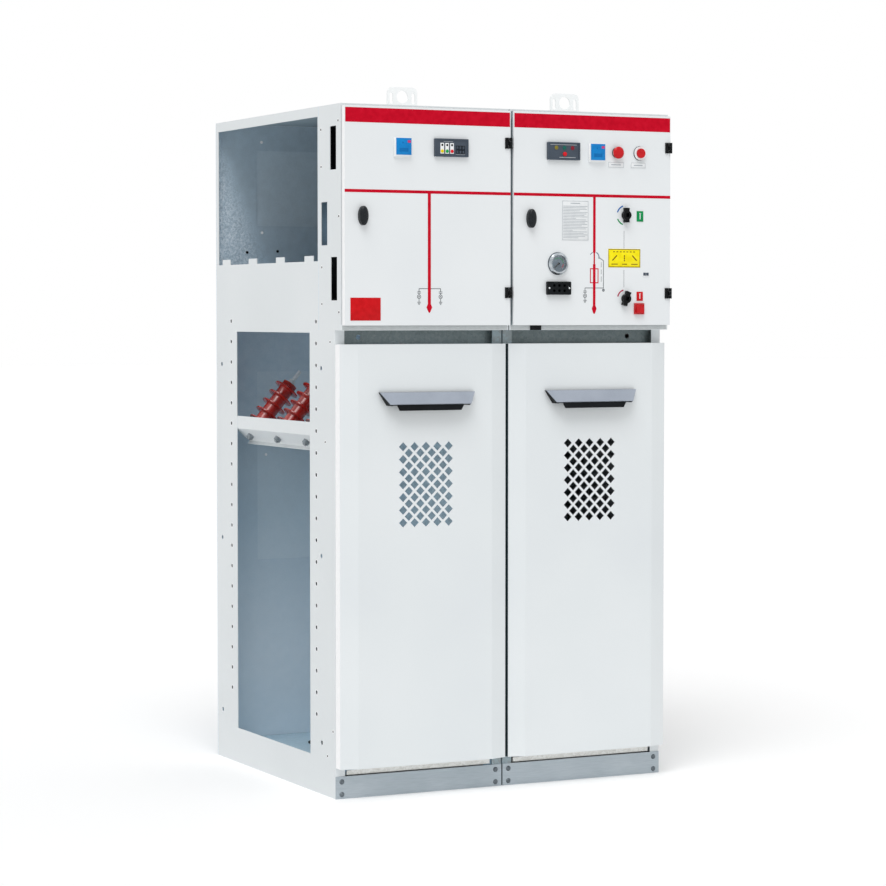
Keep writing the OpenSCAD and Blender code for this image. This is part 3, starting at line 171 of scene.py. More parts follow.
inner_zinc, spangle = spangled("inner_plate_zinc")
FLANGE_FRONT = -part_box("inner_side_plates")[0].y
# Painted shade: the front 5 mm of the inner side plates, their flanges in the gap between the panels, are
# painted dark grey 8F989A with little spangle.
flange_shade = inner_zinc.slope((0, -1, 0), FLANGE_FRONT - 8 * MM, FLANGE_FRONT - 5 * MM)
on_web = inner_zinc.both(spangle, inner_zinc.slope((0, 0, 1), *PAINTED_LIGHT_UP), 0.35)
inner_zinc.tint(inner_zinc.both(inner_zinc.span(on_web, 0.33, 1.0, 0.15, 0.85),
                                inner_zinc.span(spangle, 0.0, 0.12), by=flange_shade),
                "8F989A", *ZINC, low=0.0, high=1.0)
inner_zinc.gloss(spangle, 0.38, 0.58)
inner_zinc.relief(spangle, 0.0001, 0.4)
dress(inner_zinc, "inner_side_plates")

rail_zinc, spangle = spangled("pale_rail_zinc", metallic=0.0)
rail_zinc.tint(spangle, "DCDCD7", "E6E6E2", "EEEEEB")
rail_zinc.gloss(spangle, 0.4, 0.58)
dress(rail_zinc, "bottom_rails")


def rear_sheet(name, node, *codes):
    """Zinc of a rear sheet: painted light and shade in areas of its inner face, plain on its outer face."""
    made = Finish(name, roughness=0.5, metallic=0.2)
    flakes = made.both(made.flakes(330), made.flakes(210, stretch=(1, 1, 0.6)), 0.4)
    grain = made.both(made.noise(40, 3), made.noise(260, 3), 0.4)
    # Painted light and shade below 1.33 m: brighter towards the foot under 0.94 m, an even mid band above.
    painted_light_to_foot = made.both(made.slope((0, 0, 1), 1.08, 0.3), grain, 0.2)
    cable_room_light_and_shade = made.both(painted_light_to_foot, made.span(grain, 0.55, 0.75), by=made.slope((0, 0, 1), 0.94, 0.98))
    # Painted light above 1.35 m: a bright patch of flakes on the left, bounded by a sloping shadow edge,
    # where light falls in through the left window; the rest is darker grain, painted shade.
    bus_room_light_patch = made.both(made.span(grain, 0.26, 0.44), made.span(flakes, 0.32, 1.0, 0.15, 0.85),
                         by=made.slope((1, 0, 0.41), 0.27, 0.2))
    inside = made.both(cable_room_light_and_shade, bus_room_light_patch, by=made.slope((0, 0, 1), 1.33, 1.35))
    outside = made.span(made.both(flakes, grain, 0.6), 0.3, 0.75)
    outer_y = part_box(node)[1].y
    made.tint(made.both(inside, outside, by=made.slope((0, 1, 0), outer_y - 1.5 * MM, outer_y - 0.5 * MM)),
              *codes, low=0.0, high=1.0)
    made.gloss(flakes, 0.36, 0.6)
    dress(made, node)
    return made


rear_zinc = rear_sheet("rear_wall_zinc", "rear_walls", "9DAFBA", "C2D6E4", "E9F4FD")
rear_sheet("rear_cover_zinc", "rear_covers", "ABBDC8", "CCDEEA", "EDF6FE")

# Painted shade: the header rails, under the boxes, are painted dark grey-green for the shade they stand in.
header_shade_zinc, spangle = spangled("header_shade_zinc", metallic=0.3)
header_shade_zinc.tint(header_shade_zinc.both(spangle, header_shade_zinc.noise(9, 2), 0.4), "717E80", "7F8C8E", "8D999C")
header_shade_zinc.gloss(spangle, 0.4, 0.58)
dress(header_shade_zinc, "header_rails")


# Painted sheets: side plates, roofs, box shells and lifting lugs are folded from 2 mm steel and
# powder coated light grey, the lugs white, with the faint orange peel that such a coat has.

def coat(name, *codes):
    """A powder coat: faint clouds of colour and gloss and a fine orange peel."""
    made = Finish(name, roughness=0.38)
    made.tint(made.both(made.noise(2.2, 2), made.noise(900, 1), 0.25), *codes)
    made.gloss(made.noise(60, 3), 0.33, 0.45)
    made.relief(made.noise(650, 1), 0.00012, 0.35)
    return made


frame_coat = coat("frame_powder_coat", "DADFE1", "DEE3E5", "E2E6E8")
dress(frame_coat, "left_side_plate", "right_side_plate", "roof_plates", "box_shells", "arrester_bracket")
dress(coat("lug_powder_coat", "F8FAFA", "FCFDFD"), "lifting_lugs")


# Plinths and fasteners: the plinth plates are bare zinc-plated steel with a brushed look, held by
# domed bolts; the panels are joined by bolts with spacers. Threaded studs stand on the arresters,
# their colour painted bright above the bracket and dark under it, as light and shade.

def mottled(name, grain, codes, gloss, cloud=None, share=0.5, bumps=None, **look):
    """A finish whose colour, gloss and bumps follow one grain. A broad cloud can share in the colour."""
    made = Finish(name, **look)
    fine = made.noise(*grain)
    made.tint(fine if cloud is None else made.both(fine, made.noise(*cloud), share), *codes)
    made.gloss(fine, *gloss)
    if bumps:
        made.relief(fine, *bumps)
    return made


dress(mottled("plinth_zinc", (30, 4, (1, 1, 14)), ("9CA7AE", "A9B3BA", "B6BFC5"), (0.34, 0.5),
              cloud=(6, 2), bumps=(0.0001, 0.4), roughness=0.42, metallic=0.6), "plinths")
bright_zinc = mottled("bright_zinc", (220, 3), ("B9BEC2", "D2D6D9", "E2E5E7"), (0.22, 0.4),
                      roughness=0.3, metallic=0.9)
dress(bright_zinc, "coupling_bolts", "hinge_pins", "load_shaft", "earth_shaft")
dress(mottled("dull_bolt_zinc", (180, 3), ("565E64", "666E74", "777F84"), (0.42, 0.58),
              roughness=0.5, metallic=0.6), "plinth_bolts")

stud_zinc = Finish("stud_zinc", roughness=0.35, metallic=0.4)
stud_cloud = stud_zinc.noise(160, 3)
# Painted light and shade: the studs are painted bright above 1.0 to 1.06 m and dark below, in the bracket's
# shade.
painted_light_above_bracket = stud_zinc.slope((0, 0, 1), 1.0, 1.06)
stud_zinc.tint(stud_zinc.both(stud_zinc.span(stud_cloud, 0.0, 0.35), stud_zinc.span(stud_cloud, 0.75, 1.0),
                              by=painted_light_above_bracket),
               "7C858B", "A4ABB0", "F0F3F4", low=0.0, high=1.0)
stud_zinc.gloss(stud_cloud, 0.28, 0.45)
dress(stud_zinc, "arrester_studs")


# Cable grommets: moulded black rubber rings, pressed into the holes of the floor plates, where they
# close round the power cables.

rubber = mottled("grommet_rubber", (120, 4), ("17181A", "242628"), (0.65, 0.85), roughness=0.75)
rubber.relief(rubber.noise(900, 1), 0.0002, 0.4)
dress(rubber, "cable_grommets")


# Bolts of the rear covers and the lifting lugs: zinc-plated hexagon bolts with washers hold the
# pressure relief covers to the rear walls, in M6, and the feet of the lugs to the roofs, in M8.

def facing(direction):
    """A turn that points local +Z along a direction."""
    return Vector((0, 0, 1)).rotation_difference(Vector(direction)).to_matrix().to_4x4()


def rod(bm, foot, direction, radius, height, sides=32, tip=None, edge=0.0):
    """A round or hexagonal bar from its foot along a direction, with its far rim rounded."""
    place = Matrix.Translation(Vector(foot)) @ facing(direction) @ Matrix.Translation((0, 0, height / 2))
    made = bmesh.ops.create_cone(bm, cap_ends=True, segments=sides, radius1=radius,
                                 radius2=radius if tip is None else tip, depth=height, matrix=place)
    if edge:
        axis = Vector(direction).normalized()
        top = (Vector(foot) + axis * height).dot(axis)
        rim = [e for v in made["verts"] for e in v.link_edges
               if all(abs(w.co.dot(axis) - top) < 1e-6 for w in e.verts)]
        bmesh.ops.bevel(bm, geom=list(set(rim)), offset=edge, segments=2, profile=0.5,
                        affect="EDGES", material=-1)


CREASE = math.radians(32)


def piece(name, bm, finish, body):
    """Makes a shape an object of the part that rides on a body."""
    mesh = bpy.data.meshes.new(name)
    bm.to_mesh(mesh)
    bm.free()
    mesh.materials.append(finish.material)
    mesh.shade_smooth()
    mesh.set_sharp_from_angle(angle=CREASE)
    made = bpy.data.objects.new(name, mesh)
    bpy.context.scene.collection.objects.link(made)
    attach(made, body)


def hex_bolt(bm, foot, direction, size):
    """A washer and a chamfered hexagon head of a thread size, standing on foot."""
    axis = Vector(direction)
    rod(bm, foot, axis, size * 1.05, size * 0.2, sides=28, edge=size * 0.05)
    head = Vector(foot) + axis * size * 0.2
    rod(bm, head, axis, size * 0.92, size * 0.5, sides=6)
    rod(bm, head + axis * size * 0.5, axis, size * 0.92, size * 0.13, sides=6, tip=size * 0.74)


COVER_BOLT = 6 * MM
LUG_BOLT = 8 * MM
panel_middles = [sum(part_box(n)[i].x for i in (0, 1)) / 2 for n in ("left_upper_door", "right_upper_door")]
COVER_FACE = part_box("rear_covers")[1].y
COVER_HALF = 134 * MM
COVERS = [(560 * MM, 1138 * MM, 4), (1542 * MM, 1786 * MM, 3)]
COVER_EDGE = 6.5 * MM
bolts = bmesh.new()
for middle in panel_middles:
    for low, high, rows in COVERS:
        for i in range(rows):
            z = low + COVER_EDGE + (high - low - 2 * COVER_EDGE) * i / (rows - 1)
            for side in (-1, 0, 1) if i in (0, rows - 1) else (-1, 1):
                foot = (middle + side * (COVER_HALF - COVER_EDGE), COVER_FACE, z)
                hex_bolt(bolts, foot, (0, 1, 0), COVER_BOLT)
lug_low, lug_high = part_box("lifting_lugs")
LUG_FOOT_TOP = 1854 * MM
LUG_BOLT_BACK = 24 * MM
LUG_BOLT_SIDE = 28 * MM
REAR_LUG = 110 * MM
for middle in panel_middles:
    inward = -REAR_LUG if middle > 0 else REAR_LUG
    for lug, y in ((middle, lug_low.y + LUG_BOLT_BACK), (middle + inward, lug_high.y - LUG_BOLT_BACK)):
        for side in (-1, 1):
            hex_bolt(bolts, (lug + side * LUG_BOLT_SIDE, y, LUG_FOOT_TOP), (0, 0, 1), LUG_BOLT)
piece("cover_and_lug_bolts", bolts, bright_zinc, "cabinet")


# Inside of the rear walls and roofs: tinned rivet heads come through the rear walls, and galvanised
# sheets under the roofs close the compartments from above. A strip in the rear walls' zinc, with its
# painted light, lines the rear corner.

def slab(bm, low, high, edge=0.0):
    """A block by its corners, with rounded edges."""
    low, high = Vector(low), Vector(high)
    size = Matrix.Diagonal((*(high - low), 1.0))
    made = bmesh.ops.create_cube(bm, size=1.0, matrix=Matrix.Translation((low + high) / 2) @ size)
    bmesh.ops.recalc_face_normals(bm, faces=list({f for v in made["verts"] for f in v.link_faces}))
    if edge:
        edges = list({e for v in made["verts"] for e in v.link_edges})
        bmesh.ops.bevel(bm, geom=edges, offset=edge, segments=2, profile=0.5,
                        affect="EDGES", material=-1)


REAR_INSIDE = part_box("rear_walls")[0].y
ROOF_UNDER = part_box("roof_plates")[0].z
LINER_HALF = 226 * MM
LINER_FRONT, LINER_REAR = -270 * MM, 438 * MM
liners = bmesh.new()
for middle in panel_middles:
    slab(liners, (middle - LINER_HALF, LINER_FRONT, ROOF_UNDER - 0.8 * MM),
         (middle + LINER_HALF, LINER_REAR, ROOF_UNDER - 0.05 * MM), 0.2 * MM)
liner_zinc, spangle = spangled("liner_zinc", share=0.6)
liner_zinc.tint(spangle, "9BADB6", "A5B7C0", "AFC0C8")
liner_zinc.gloss(spangle, 0.4, 0.56)
piece("roof_liners", liners, liner_zinc, "cabinet")
plate_low, plate_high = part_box("left_side_plate")
RETURN_W = 17.8 * MM
# Painted light: the strip covers the side plate's shaded flange with the rear wall's lit zinc.
corner = bmesh.new()
slab(corner, (plate_low.x + 2.1 * MM, plate_high.y - 2.4 * MM, 60 * MM),
     (plate_low.x + RETURN_W, plate_high.y - 2.02 * MM, 1840 * MM))
piece("corner_strip", corner, rear_zinc, "cabinet")


def rear_ends(bm, places, radius, height):
    """Round ends that stand on the inside of the rear walls, at places from each panel's middle."""
    for middle in panel_middles:
        for u, z in places:
            foot = (middle + u * MM, REAR_INSIDE, z * MM)
            rod(bm, foot, (0, -1, 0), radius, height, sides=16, edge=0.8 * MM)


tinned = mottled("tinned_stud", (160, 3), ("F2F4F5", "F7F8F9", "FBFCFC"), (0.3, 0.48), roughness=0.4)
rivets = bmesh.new()
rear_ends(rivets, ((-105, 1534), (-106, 1799), (-95, 881)), 4.2 * MM, 1.8 * MM)
piece("rear_rivets", rivets, tinned, "cabinet")


# Busbars, risers and contacts: flat bars of drawn copper, joined over the insulators and at the
# switch's terminals, with a warm tarnish along their length.

dress(mottled("bar_copper", (40, 4, (1, 12, 12)), ("A4613C", "C07C52", "D29A72"), (0.25, 0.45),
              cloud=(9, 3), roughness=0.32, metallic=1.0), "busbars", "riser_bars", "switch_terminals")


# Insulators and switch tank: cast in epoxy resin, dark red-brown and glossy, with faint flow clouds.
# The insulators stand in the left shelf and on the fuse bracket. The tank is two shells.

resin = Finish("cast_resin", roughness=0.28, coat=0.2)
flow = resin.noise(14, 4)
resin.tint(flow, "5B2A1E", "6E3424", "7C3E2B")
resin.gloss(resin.noise(50, 3), 0.22, 0.36)
resin.relief(resin.noise(300, 2), 0.0001, 0.3)
dress(resin, "epoxy_insulators", "switch_upper_shell", "switch_lower_shell")


# Fuse links: glazed white ceramic barrels whose ends sit in the copper cups under the switch and on
# the post insulators.

dress(mottled("fuse_glaze", (25, 3), ("DCD6C8", "E8E3D8"), (0.15, 0.28), roughness=0.2, coat=0.4),
      "fuse_links")


# Surge arresters: three columns of moulded silicone rubber with sheds, brick red and glossy, with a
# little dust that dulls the gloss in places.

silicone = mottled("shed_silicone", (35, 4), ("9C1A12", "B02017", "BA2D23"), (0.12, 0.26),
                   cloud=(400, 2), share=0.3, roughness=0.2, coat=0.5)
silicone.relief(silicone.noise(500, 1), 0.00015, 0.3)
dress(silicone, "surge_arresters")


# Mechanism housing: a folded box behind the right door that holds the bearings of the two drive
# shafts, sprayed mid grey and fixed to the partition.

machine_grey = mottled("machine_grey_paint", (30, 3), ("9DA3A8", "A8AEB2"), (0.4, 0.52), roughness=0.45)
machine_grey.relief(machine_grey.noise(700, 1), 0.0001, 0.3)
dress(machine_grey, "mechanism_housing")


# Black metal and plastic trim: hinges, their brackets, the interlock guide, locks and knobs are
# moulded or blackened, satin, with a fine grain and a few lighter rubbed spots. So are the ends of
# two screws inside each rear wall, and the slate indicator housings.

black_metal = Finish("blackened_metal", roughness=0.42, shine=0.1)
rubbed = black_metal.noise(90, 4)
black_metal.tint(rubbed, "0B0C0D", "16181A", "24272A", low=0.35, high=0.8)
black_metal.gloss(rubbed, 0.35, 0.5)
dress(black_metal, "hinge_brackets", "left_hinge_leaves", "right_hinge_leaves", "interlock_guide")
screws = bmesh.new()
rear_ends(screws, ((-153, 1476), (-56, 1480)), 4.0 * MM, 3.0 * MM)
piece("rear_screws", screws, black_metal, "cabinet")

black_plastic = mottled("black_moulding", (700, 2), ("0E1012", "1A1D20"), (0.32, 0.48),
                        cloud=(18, 2), bumps=(0.0001, 0.35), roughness=0.4, shine=0.08)
dress(black_plastic, "socket_block", "left_handle_body", "right_handle_body")

dress(mottled("knob_black", (300, 2), ("060708", "0E1012"), (0.14, 0.28), roughness=0.22, shine=0.12),
      "load_knob", "earth_knob", "gauge_needle")

slate_plastic = mottled("slate_moulding", (500, 2), ("323C48", "424E5C"), (0.28, 0.44),
                        cloud=(25, 2), bumps=(0.0001, 0.3), roughness=0.36, shine=0.4)
dress(slate_plastic, "live_line_indicator", "fault_indicator")

lock_plastic = mottled("lock_moulding", (500, 2), ("0C1115", "161C21"), (0.22, 0.38),
                       cloud=(25, 2), roughness=0.26, shine=0.25)
dress(lock_plastic, "left_lock", "right_lock")


# Painted shade inside the left instrument box: two dark sheets, laid on the partition at its back behind
# the wiring, stand for the shade of the closed box, with a blue-grey sheet between them. They show
# through the wiring slots.

LINING_GRAIN = (240, 3, (1, 1, 4))
dark_shade_lining = mottled("dark_shade_lining", LINING_GRAIN, ("14181C", "1F252B"), (0.7, 0.9), roughness=0.8, shine=0.2)
blue_lining = mottled("blue_lining", LINING_GRAIN, ("86A3BA", "95B3CA"), (0.6, 0.8), roughness=0.7, shine=0.3)
PARTITION_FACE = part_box("partitions")[0].y
LINING_LEFT, LINING_RIGHT = -496 * MM, -6 * MM
for name, finish, spans in (("dark_shade_linings", dark_shade_lining, ((1258, 1462), (1632, 1844))),
                            ("blue_lining_sheet", blue_lining, ((1463, 1631),))):
    lining_sheet = bmesh.new()
    for low, high in spans:
        slab(lining_sheet, (LINING_LEFT, PARTITION_FACE - 1.0 * MM, low * MM),
             (LINING_RIGHT, PARTITION_FACE - 0.05 * MM, high * MM), 0.3 * MM)
    piece(name, lining_sheet, finish, "cabinet")


# Upper doors: powder-coated pans. White strips on their left edges are painted highlight, a grey strip
# on the right door's left edge behind them is painted shade in the gap between the doors, and a grey
# strip below the doors is painted shade. A red band runs along the top of each, and the one-line diagram
# of the circuit is printed under it in red, with its small symbols in thin grey lines.

dress(coat("door_powder_coat", "E0E4E7", "E4E8EA", "E8EBED"), "left_upper_door", "right_upper_door")
PRINT = 0.3 * MM


def print_ink(name, *codes, shine=0.15):
    """A screen-printed or foil colour: slightly mottled, satin."""
    made = Finish(name, roughness=0.42, shine=shine)
    made.tint(made.noise(70, 3), *codes)
    made.gloss(made.noise(300, 2), 0.34, 0.48)
    return made


class Door:
    """Where things go on an upper door: u across from its middle, z up, out from its face."""

    def __init__(self, node, body):
        self.node = node
        low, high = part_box(node)
        self.middle = (low.x + high.x) / 2
        self.half = (high.x - low.x) / 2
        self.face = low.y
        self.body = body

    def at(self, u, z, out=0.0):
        """A place on the door, given in millimetres."""
        return Vector((self.middle + u * MM, self.face - out * MM, z * MM))


left_door = Door("left_upper_door", "left_door")
right_door = Door("right_upper_door", "right_door")


def panel(bm, door, u0, z0, u1, z1, t=PRINT / MM, base=0.0, edge=0.0):
    """A flat plate on a door by its corners in millimetres, t thick, standing base off the face."""
    a, b = door.at(u0, z0, base), door.at(u1, z1, base + t)
    slab(bm, (a.x, b.y, a.z), (b.x, a.y, b.z), edge * MM)


def stroke(bm, door, start, end, width, t=PRINT / MM, base=0.0):
    """A straight printed line between two points of a door."""
    a, b = door.at(*start, base), door.at(*end, base)
    along = b - a
    turn = Matrix.Rotation(-math.atan2(along.z, along.x), 4, "Y")
    place = Matrix.Translation((a + b) / 2 - Vector((0, t * MM / 2, 0))) @ turn
    size = Matrix.Diagonal((along.length, t * MM, width * MM, 1.0))
    made = bmesh.ops.create_cube(bm, size=1.0, matrix=place @ size)
    bmesh.ops.recalc_face_normals(bm, faces=list({f for v in made["verts"] for f in v.link_faces}))


def settle(bm, geom):
    """Merges doubles of freshly made geometry and turns its faces outwards."""
    verts = [v for v in geom if isinstance(v, bmesh.types.BMVert) and v.is_valid]
    bmesh.ops.remove_doubles(bm, verts=verts, dist=1e-6)
    faces = {f for v in verts if v.is_valid for f in v.link_faces}
    bmesh.ops.recalc_face_normals(bm, faces=list(faces))


def arc(bm, door, centre, radius, start, end, width, t=PRINT / MM, base=0.0, steps=18):
    """A printed arc, its angles in degrees from +X towards +Z; a full turn closes on itself."""
    full = abs(end - start) >= 360
    corners = []
    for r, out in ((-0.5, 0), (0.5, 0), (0.5, t), (-0.5, t)):
        reach = radius + r * width
        corners.append(bm.verts.new(door.at(centre[0] + reach * math.cos(math.radians(start)),
                                            centre[1] + reach * math.sin(math.radians(start)), base + out)))
    ring = [bm.edges.new((corners[i], corners[(i + 1) % 4])) for i in range(4)]
    spun = bmesh.ops.spin(bm, geom=corners + ring, cent=door.at(*centre), axis=(0, -1, 0),
                          angle=math.radians(end - start), steps=steps, use_merge=full)
    if not full:
        bm.faces.new(corners)
        last = [e for e in spun["geom_last"] if isinstance(e, bmesh.types.BMEdge)]
        bmesh.ops.contextual_create(bm, geom=last)
    verts = set(corners)
    todo = list(corners)
    while todo:
        for e in todo.pop().link_edges:
            for v in e.verts:
                if v not in verts:
                    verts.add(v)
                    todo.append(v)
    settle(bm, verts)


def outline(bm, door, points):
    """A flat printed shape by its corners."""
    face = bm.faces.new([bm.verts.new(door.at(u, z)) for u, z in points])
    grown = bmesh.ops.extrude_face_region(bm, geom=[face])
    raised = [v for v in grown["geom"] if isinstance(v, bmesh.types.BMVert)]
    bmesh.ops.translate(bm, verts=raised, vec=(0, -PRINT, 0))
    settle(bm, raised + list(face.verts))


highlight_white = print_ink("highlight_white", "F8F9FA", "FDFDFE")
gap_shade_grey = mottled("gap_shade_grey_finish", (300, 2), ("8C989F", "97A3A9"), (0.6, 0.8), roughness=0.7, shine=0.3)


def edge_strip(bm, node, front, back, out, into=-0.02 * MM, edge=0.0):
    """A strip up a door's left edge, from front to back, that stands out past it."""
    low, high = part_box(node)
    slab(bm, (low.x - out, front, low.z + 0.5 * MM), (low.x + into, back, high.z - 0.5 * MM), edge)


BOX_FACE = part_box("box_shells")[0].y
sill = bmesh.new()
for door in (left_door, right_door):
    low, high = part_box(door.node)
    highlight_back = high.y - 0.3 * MM if door is left_door else low.y + 6 * MM
    # Painted highlight: a white strip on each upper door's left edge, for the light caught along that edge.
    trim = bmesh.new()
    edge_strip(trim, door.node, low.y + 0.4 * MM, highlight_back, 0.4 * MM)
    piece(door.body + "_edge_highlight", trim, highlight_white, door.body)
    slab(sill, (low.x + 1 * MM, BOX_FACE - 0.6 * MM, low.z - 11.5 * MM),
         (high.x - 1 * MM, BOX_FACE - 0.02 * MM, low.z + 2 * MM), 0.2 * MM)
# Painted shade: grey strips on the box front under the doors, for the doors' shade on the sill.
sill_shade_grey = print_ink("sill_shade_grey", "BDC2C3", "C6CBCC")
piece("sill_shade_strips", sill, sill_shade_grey, "cabinet")
# Painted shade: a grey strip on the right door's left edge, behind its front 6 mm, for the shade in the gap
# between the doors.
low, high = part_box(right_door.node)
gap_shade = bmesh.new()
edge_strip(gap_shade, right_door.node, low.y + 6.3 * MM, high.y - 0.3 * MM, 0.9 * MM, edge=0.2 * MM)
piece("right_door_gap_shade", gap_shade, gap_shade_grey, "right_door")

print_red = print_ink("print_red", "BA0622", "C40A26", "CA102B", shine=0.05)
print_grey = print_ink("print_grey", "454B50", "555B60")
BAND = (1800, 1838.5)
BUS = (1616, 1624)
ARROW = 24
for door, half_band, line_u, line_w, tip in ((left_door, 244, 1.5, 9, 1298),
                                             (right_door, 244.5, 4, 8, 1295)):
    band = bmesh.new()
    panel(band, door, -half_band, BAND[0], half_band, BAND[1])
    piece(door.body + "_red_band", band, print_red, door.body)
    mimic = bmesh.new()
    panel(mimic, door, -door.half / MM, BUS[0], door.half / MM, BUS[1])
    if door is left_door:
        panel(mimic, door, line_u - line_w / 2, tip + ARROW, line_u + line_w / 2, BUS[0])
    else:
        panel(mimic, door, line_u - line_w / 2, 1464, line_u + line_w / 2, BUS[0])
        panel(mimic, door, line_u - 2.2, 1432, line_u + 2.2, 1464)
        panel(mimic, door, line_u - line_w / 2, tip + ARROW, line_u + line_w / 2, 1432)
        for u in (-8, 16):
            panel(mimic, door, u - 1.3, 1380, u + 1.3, 1421)
        for z in (1381.3, 1419.7):
            for u0, u1 in ((-6.7, line_u - line_w / 2), (line_u + line_w / 2, 14.7)):
                panel(mimic, door, u0, z - 1.3, u1, z + 1.3)
    w = line_w / 2
    outline(mimic, door, [(line_u - w, tip + ARROW), (line_u - 2 * w + 0.5, tip + 15), (line_u - 3, tip + 3),
                          (line_u, tip), (line_u + 3, tip + 3), (line_u + 2 * w - 0.5, tip + 15),
                          (line_u + w, tip + ARROW)])
    piece(door.body + "_mimic", mimic, print_red, door.body)


def earth_branch(bm, door, u, top, foot):
    """A capacitor, a lamp and an earth symbol that hang from a branch line."""
    stroke(bm, door, (u, top), (u, top - 8), 1.5)
    for drop in (8.5, 12.0):
        stroke(bm, door, (u - 5, top - drop), (u + 5, top - drop), 1.5)
    stroke(bm, door, (u, top - 12.5), (u, top - 16), 1.5)
    arc(bm, door, (u, top - 21.5), 5.0, 0, 360, 1.4, steps=20)
    for turn in (45, 135):
        across, up = 3.2 * math.cos(math.radians(turn)), 3.2 * math.sin(math.radians(turn))
        stroke(bm, door, (u - across, top - 21.5 - up), (u + across, top - 21.5 + up), 1.0)
    stroke(bm, door, (u, top - 27), (u, foot + 7), 1.5)
    for i in range(3):
        half = 5 - 1.6 * i
        stroke(bm, door, (u - half, foot + 6 - 3 * i), (u + half, foot + 6 - 3 * i), 1.4)


symbols = bmesh.new()
stroke(symbols, left_door, (-29, 1363), (-3, 1363), 1.6)
stroke(symbols, left_door, (6, 1363), (35, 1363), 1.6)
for u in (-29, 35):
    earth_branch(symbols, left_door, u, 1363, 1321)
piece("left_door_symbols", symbols, print_grey, "left_door")

print_steel = print_ink("print_steel_blue", "4E6178", "5B6E86")
symbols = bmesh.new()
stroke(symbols, right_door, (-25, 1367), (-0.2, 1367), 1.6)
stroke(symbols, right_door, (8.2, 1367), (33, 1367), 1.6)
earth_branch(symbols, right_door, -25, 1367, 1327)
for z0, z1 in ((1438, 1424), (1418, 1405), (1399, 1384)):
    stroke(symbols, right_door, (26, z0), (26, z1), 1.0)
stroke(symbols, right_door, (33, 1366), (33, 1442), 1.6)
stroke(symbols, right_door, (33, 1442), (22, 1449), 1.6)
stroke(symbols, right_door, (22, 1449), (17, 1449), 1.6)
arc(symbols, right_door, (33, 1361), 2.6, 0, 360, 2.6, steps=14)
for z0, z1 in ((1525, 1477), (1417, 1369)):
    stroke(symbols, right_door, (98, z0), (98, z1), 0.8)
piece("right_door_symbols", symbols, print_grey, "right_door")
blade_arc = bmesh.new()
arc(blade_arc, right_door, (4.5, 1451), 14.5, -10, 66, 2.4)
arc(blade_arc, right_door, (4.5, 1451), 14.5, 112, 150, 1.6)
piece("right_door_switch_arc", blade_arc, print_steel, "right_door")


# Lock caps: the oval handles of the quarter-turn locks have a domed front, moulded in glossy dark
# plastic and pressed onto the handle.

LOCK_INSET = 51
LOCK_DEPTH = 12
CAP = (12.7, 7.5, 25.2)
for door, name in ((left_door, "left_lock"), (right_door, "right_lock")):
    middle = door.at(LOCK_INSET - door.half / MM, sum(c.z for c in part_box(door.node)) / 2 / MM, LOCK_DEPTH)
    cap = bmesh.new()
    oval = Matrix.Diagonal((*[c * MM for c in CAP], 1.0))
    bmesh.ops.create_uvsphere(cap, u_segments=32, v_segments=16, radius=1.0,
                              matrix=Matrix.Translation(middle) @ oval)
    bmesh.ops.bisect_plane(cap, geom=cap.verts[:] + cap.edges[:] + cap.faces[:], plane_co=middle,
                           plane_no=(0, 1, 0), clear_outer=True)
    bmesh.ops.holes_fill(cap, edges=[e for e in cap.edges if e.is_boundary])
    settle(cap, cap.verts)
    piece(name + "_cap", cap, lock_plastic, door.body + "_lock")


# Plates on the doors: a bare red plate at the left door's foot, a bare instruction plate with ruled
# lines, a yellow knob-position plate and two small bare nameplates, all glued foils or thin sheet.

plate_red = print_ink("plate_red", "BE050F", "C80A14", "CF111B")
plate = bmesh.new()
panel(plate, left_door, -230, 1278, -142, 1338.5, t=0.8, edge=0.3)
piece("left_red_plate", plate, plate_red, "left_door")

plate_white = print_ink("plate_white", "E3E6E8", "E9ECED")
SHEET = 0.6
NAMEPLATE = 1.0
NAMEPLATES = ((46, 97), (118, 166))
plate = bmesh.new()
panel(plate, right_door, -98, 1496, -14, 1606, t=SHEET, edge=0.25)
for u0, u1 in NAMEPLATES:
    panel(plate, right_door, u0, 1698, u1, 1714, t=NAMEPLATE, edge=0.3)
piece("right_bare_plates", plate, plate_white, "right_door")


INK = 0.15


def frame_lines(bm, door, u0, z0, u1, z1, width, base):
    """Four thin lines round the inside of a plate's edge."""
    for z in (z0, z1):
        stroke(bm, door, (u0 - width / 2, z), (u1 + width / 2, z), width, t=INK, base=base)
    for u in (u0, u1):
        stroke(bm, door, (u, z0 + width / 2), (u, z1 - width / 2), width, t=INK, base=base)


print_pale = print_ink("print_pale_grey", "A9B0B5", "B4BABF")
lines = bmesh.new()
frame_lines(lines, right_door, -96, 1498, -16, 1604, 1.2, SHEET)
stroke(lines, right_door, (-71, 1598), (-41, 1598), 2.4, t=INK, base=SHEET)
RULED = [76, 70, 74, 52, 76, 73, 66, 76, 40, 72, 76, 68, 75, 58, 76, 71, 30, 74, 64, 76, 69, 48]
RULED_TOP, RULED_PITCH = 1590, 4.1
for i, length in enumerate(RULED):
    z = RULED_TOP - RULED_PITCH * i
    stroke(lines, right_door, (-94, z), (-94 + length, z), 1.5, t=INK, base=SHEET)
for u0, u1 in NAMEPLATES:
    frame_lines(lines, right_door, u0 + 1.5, 1699.5, u1 - 1.5, 1712.5, 1.0, NAMEPLATE)
    stroke(lines, right_door, (u0 + 10, 1706), (u1 - 10, 1706), 3.0, t=INK, base=NAMEPLATE)
piece("right_plate_lines", lines, print_pale, "right_door")

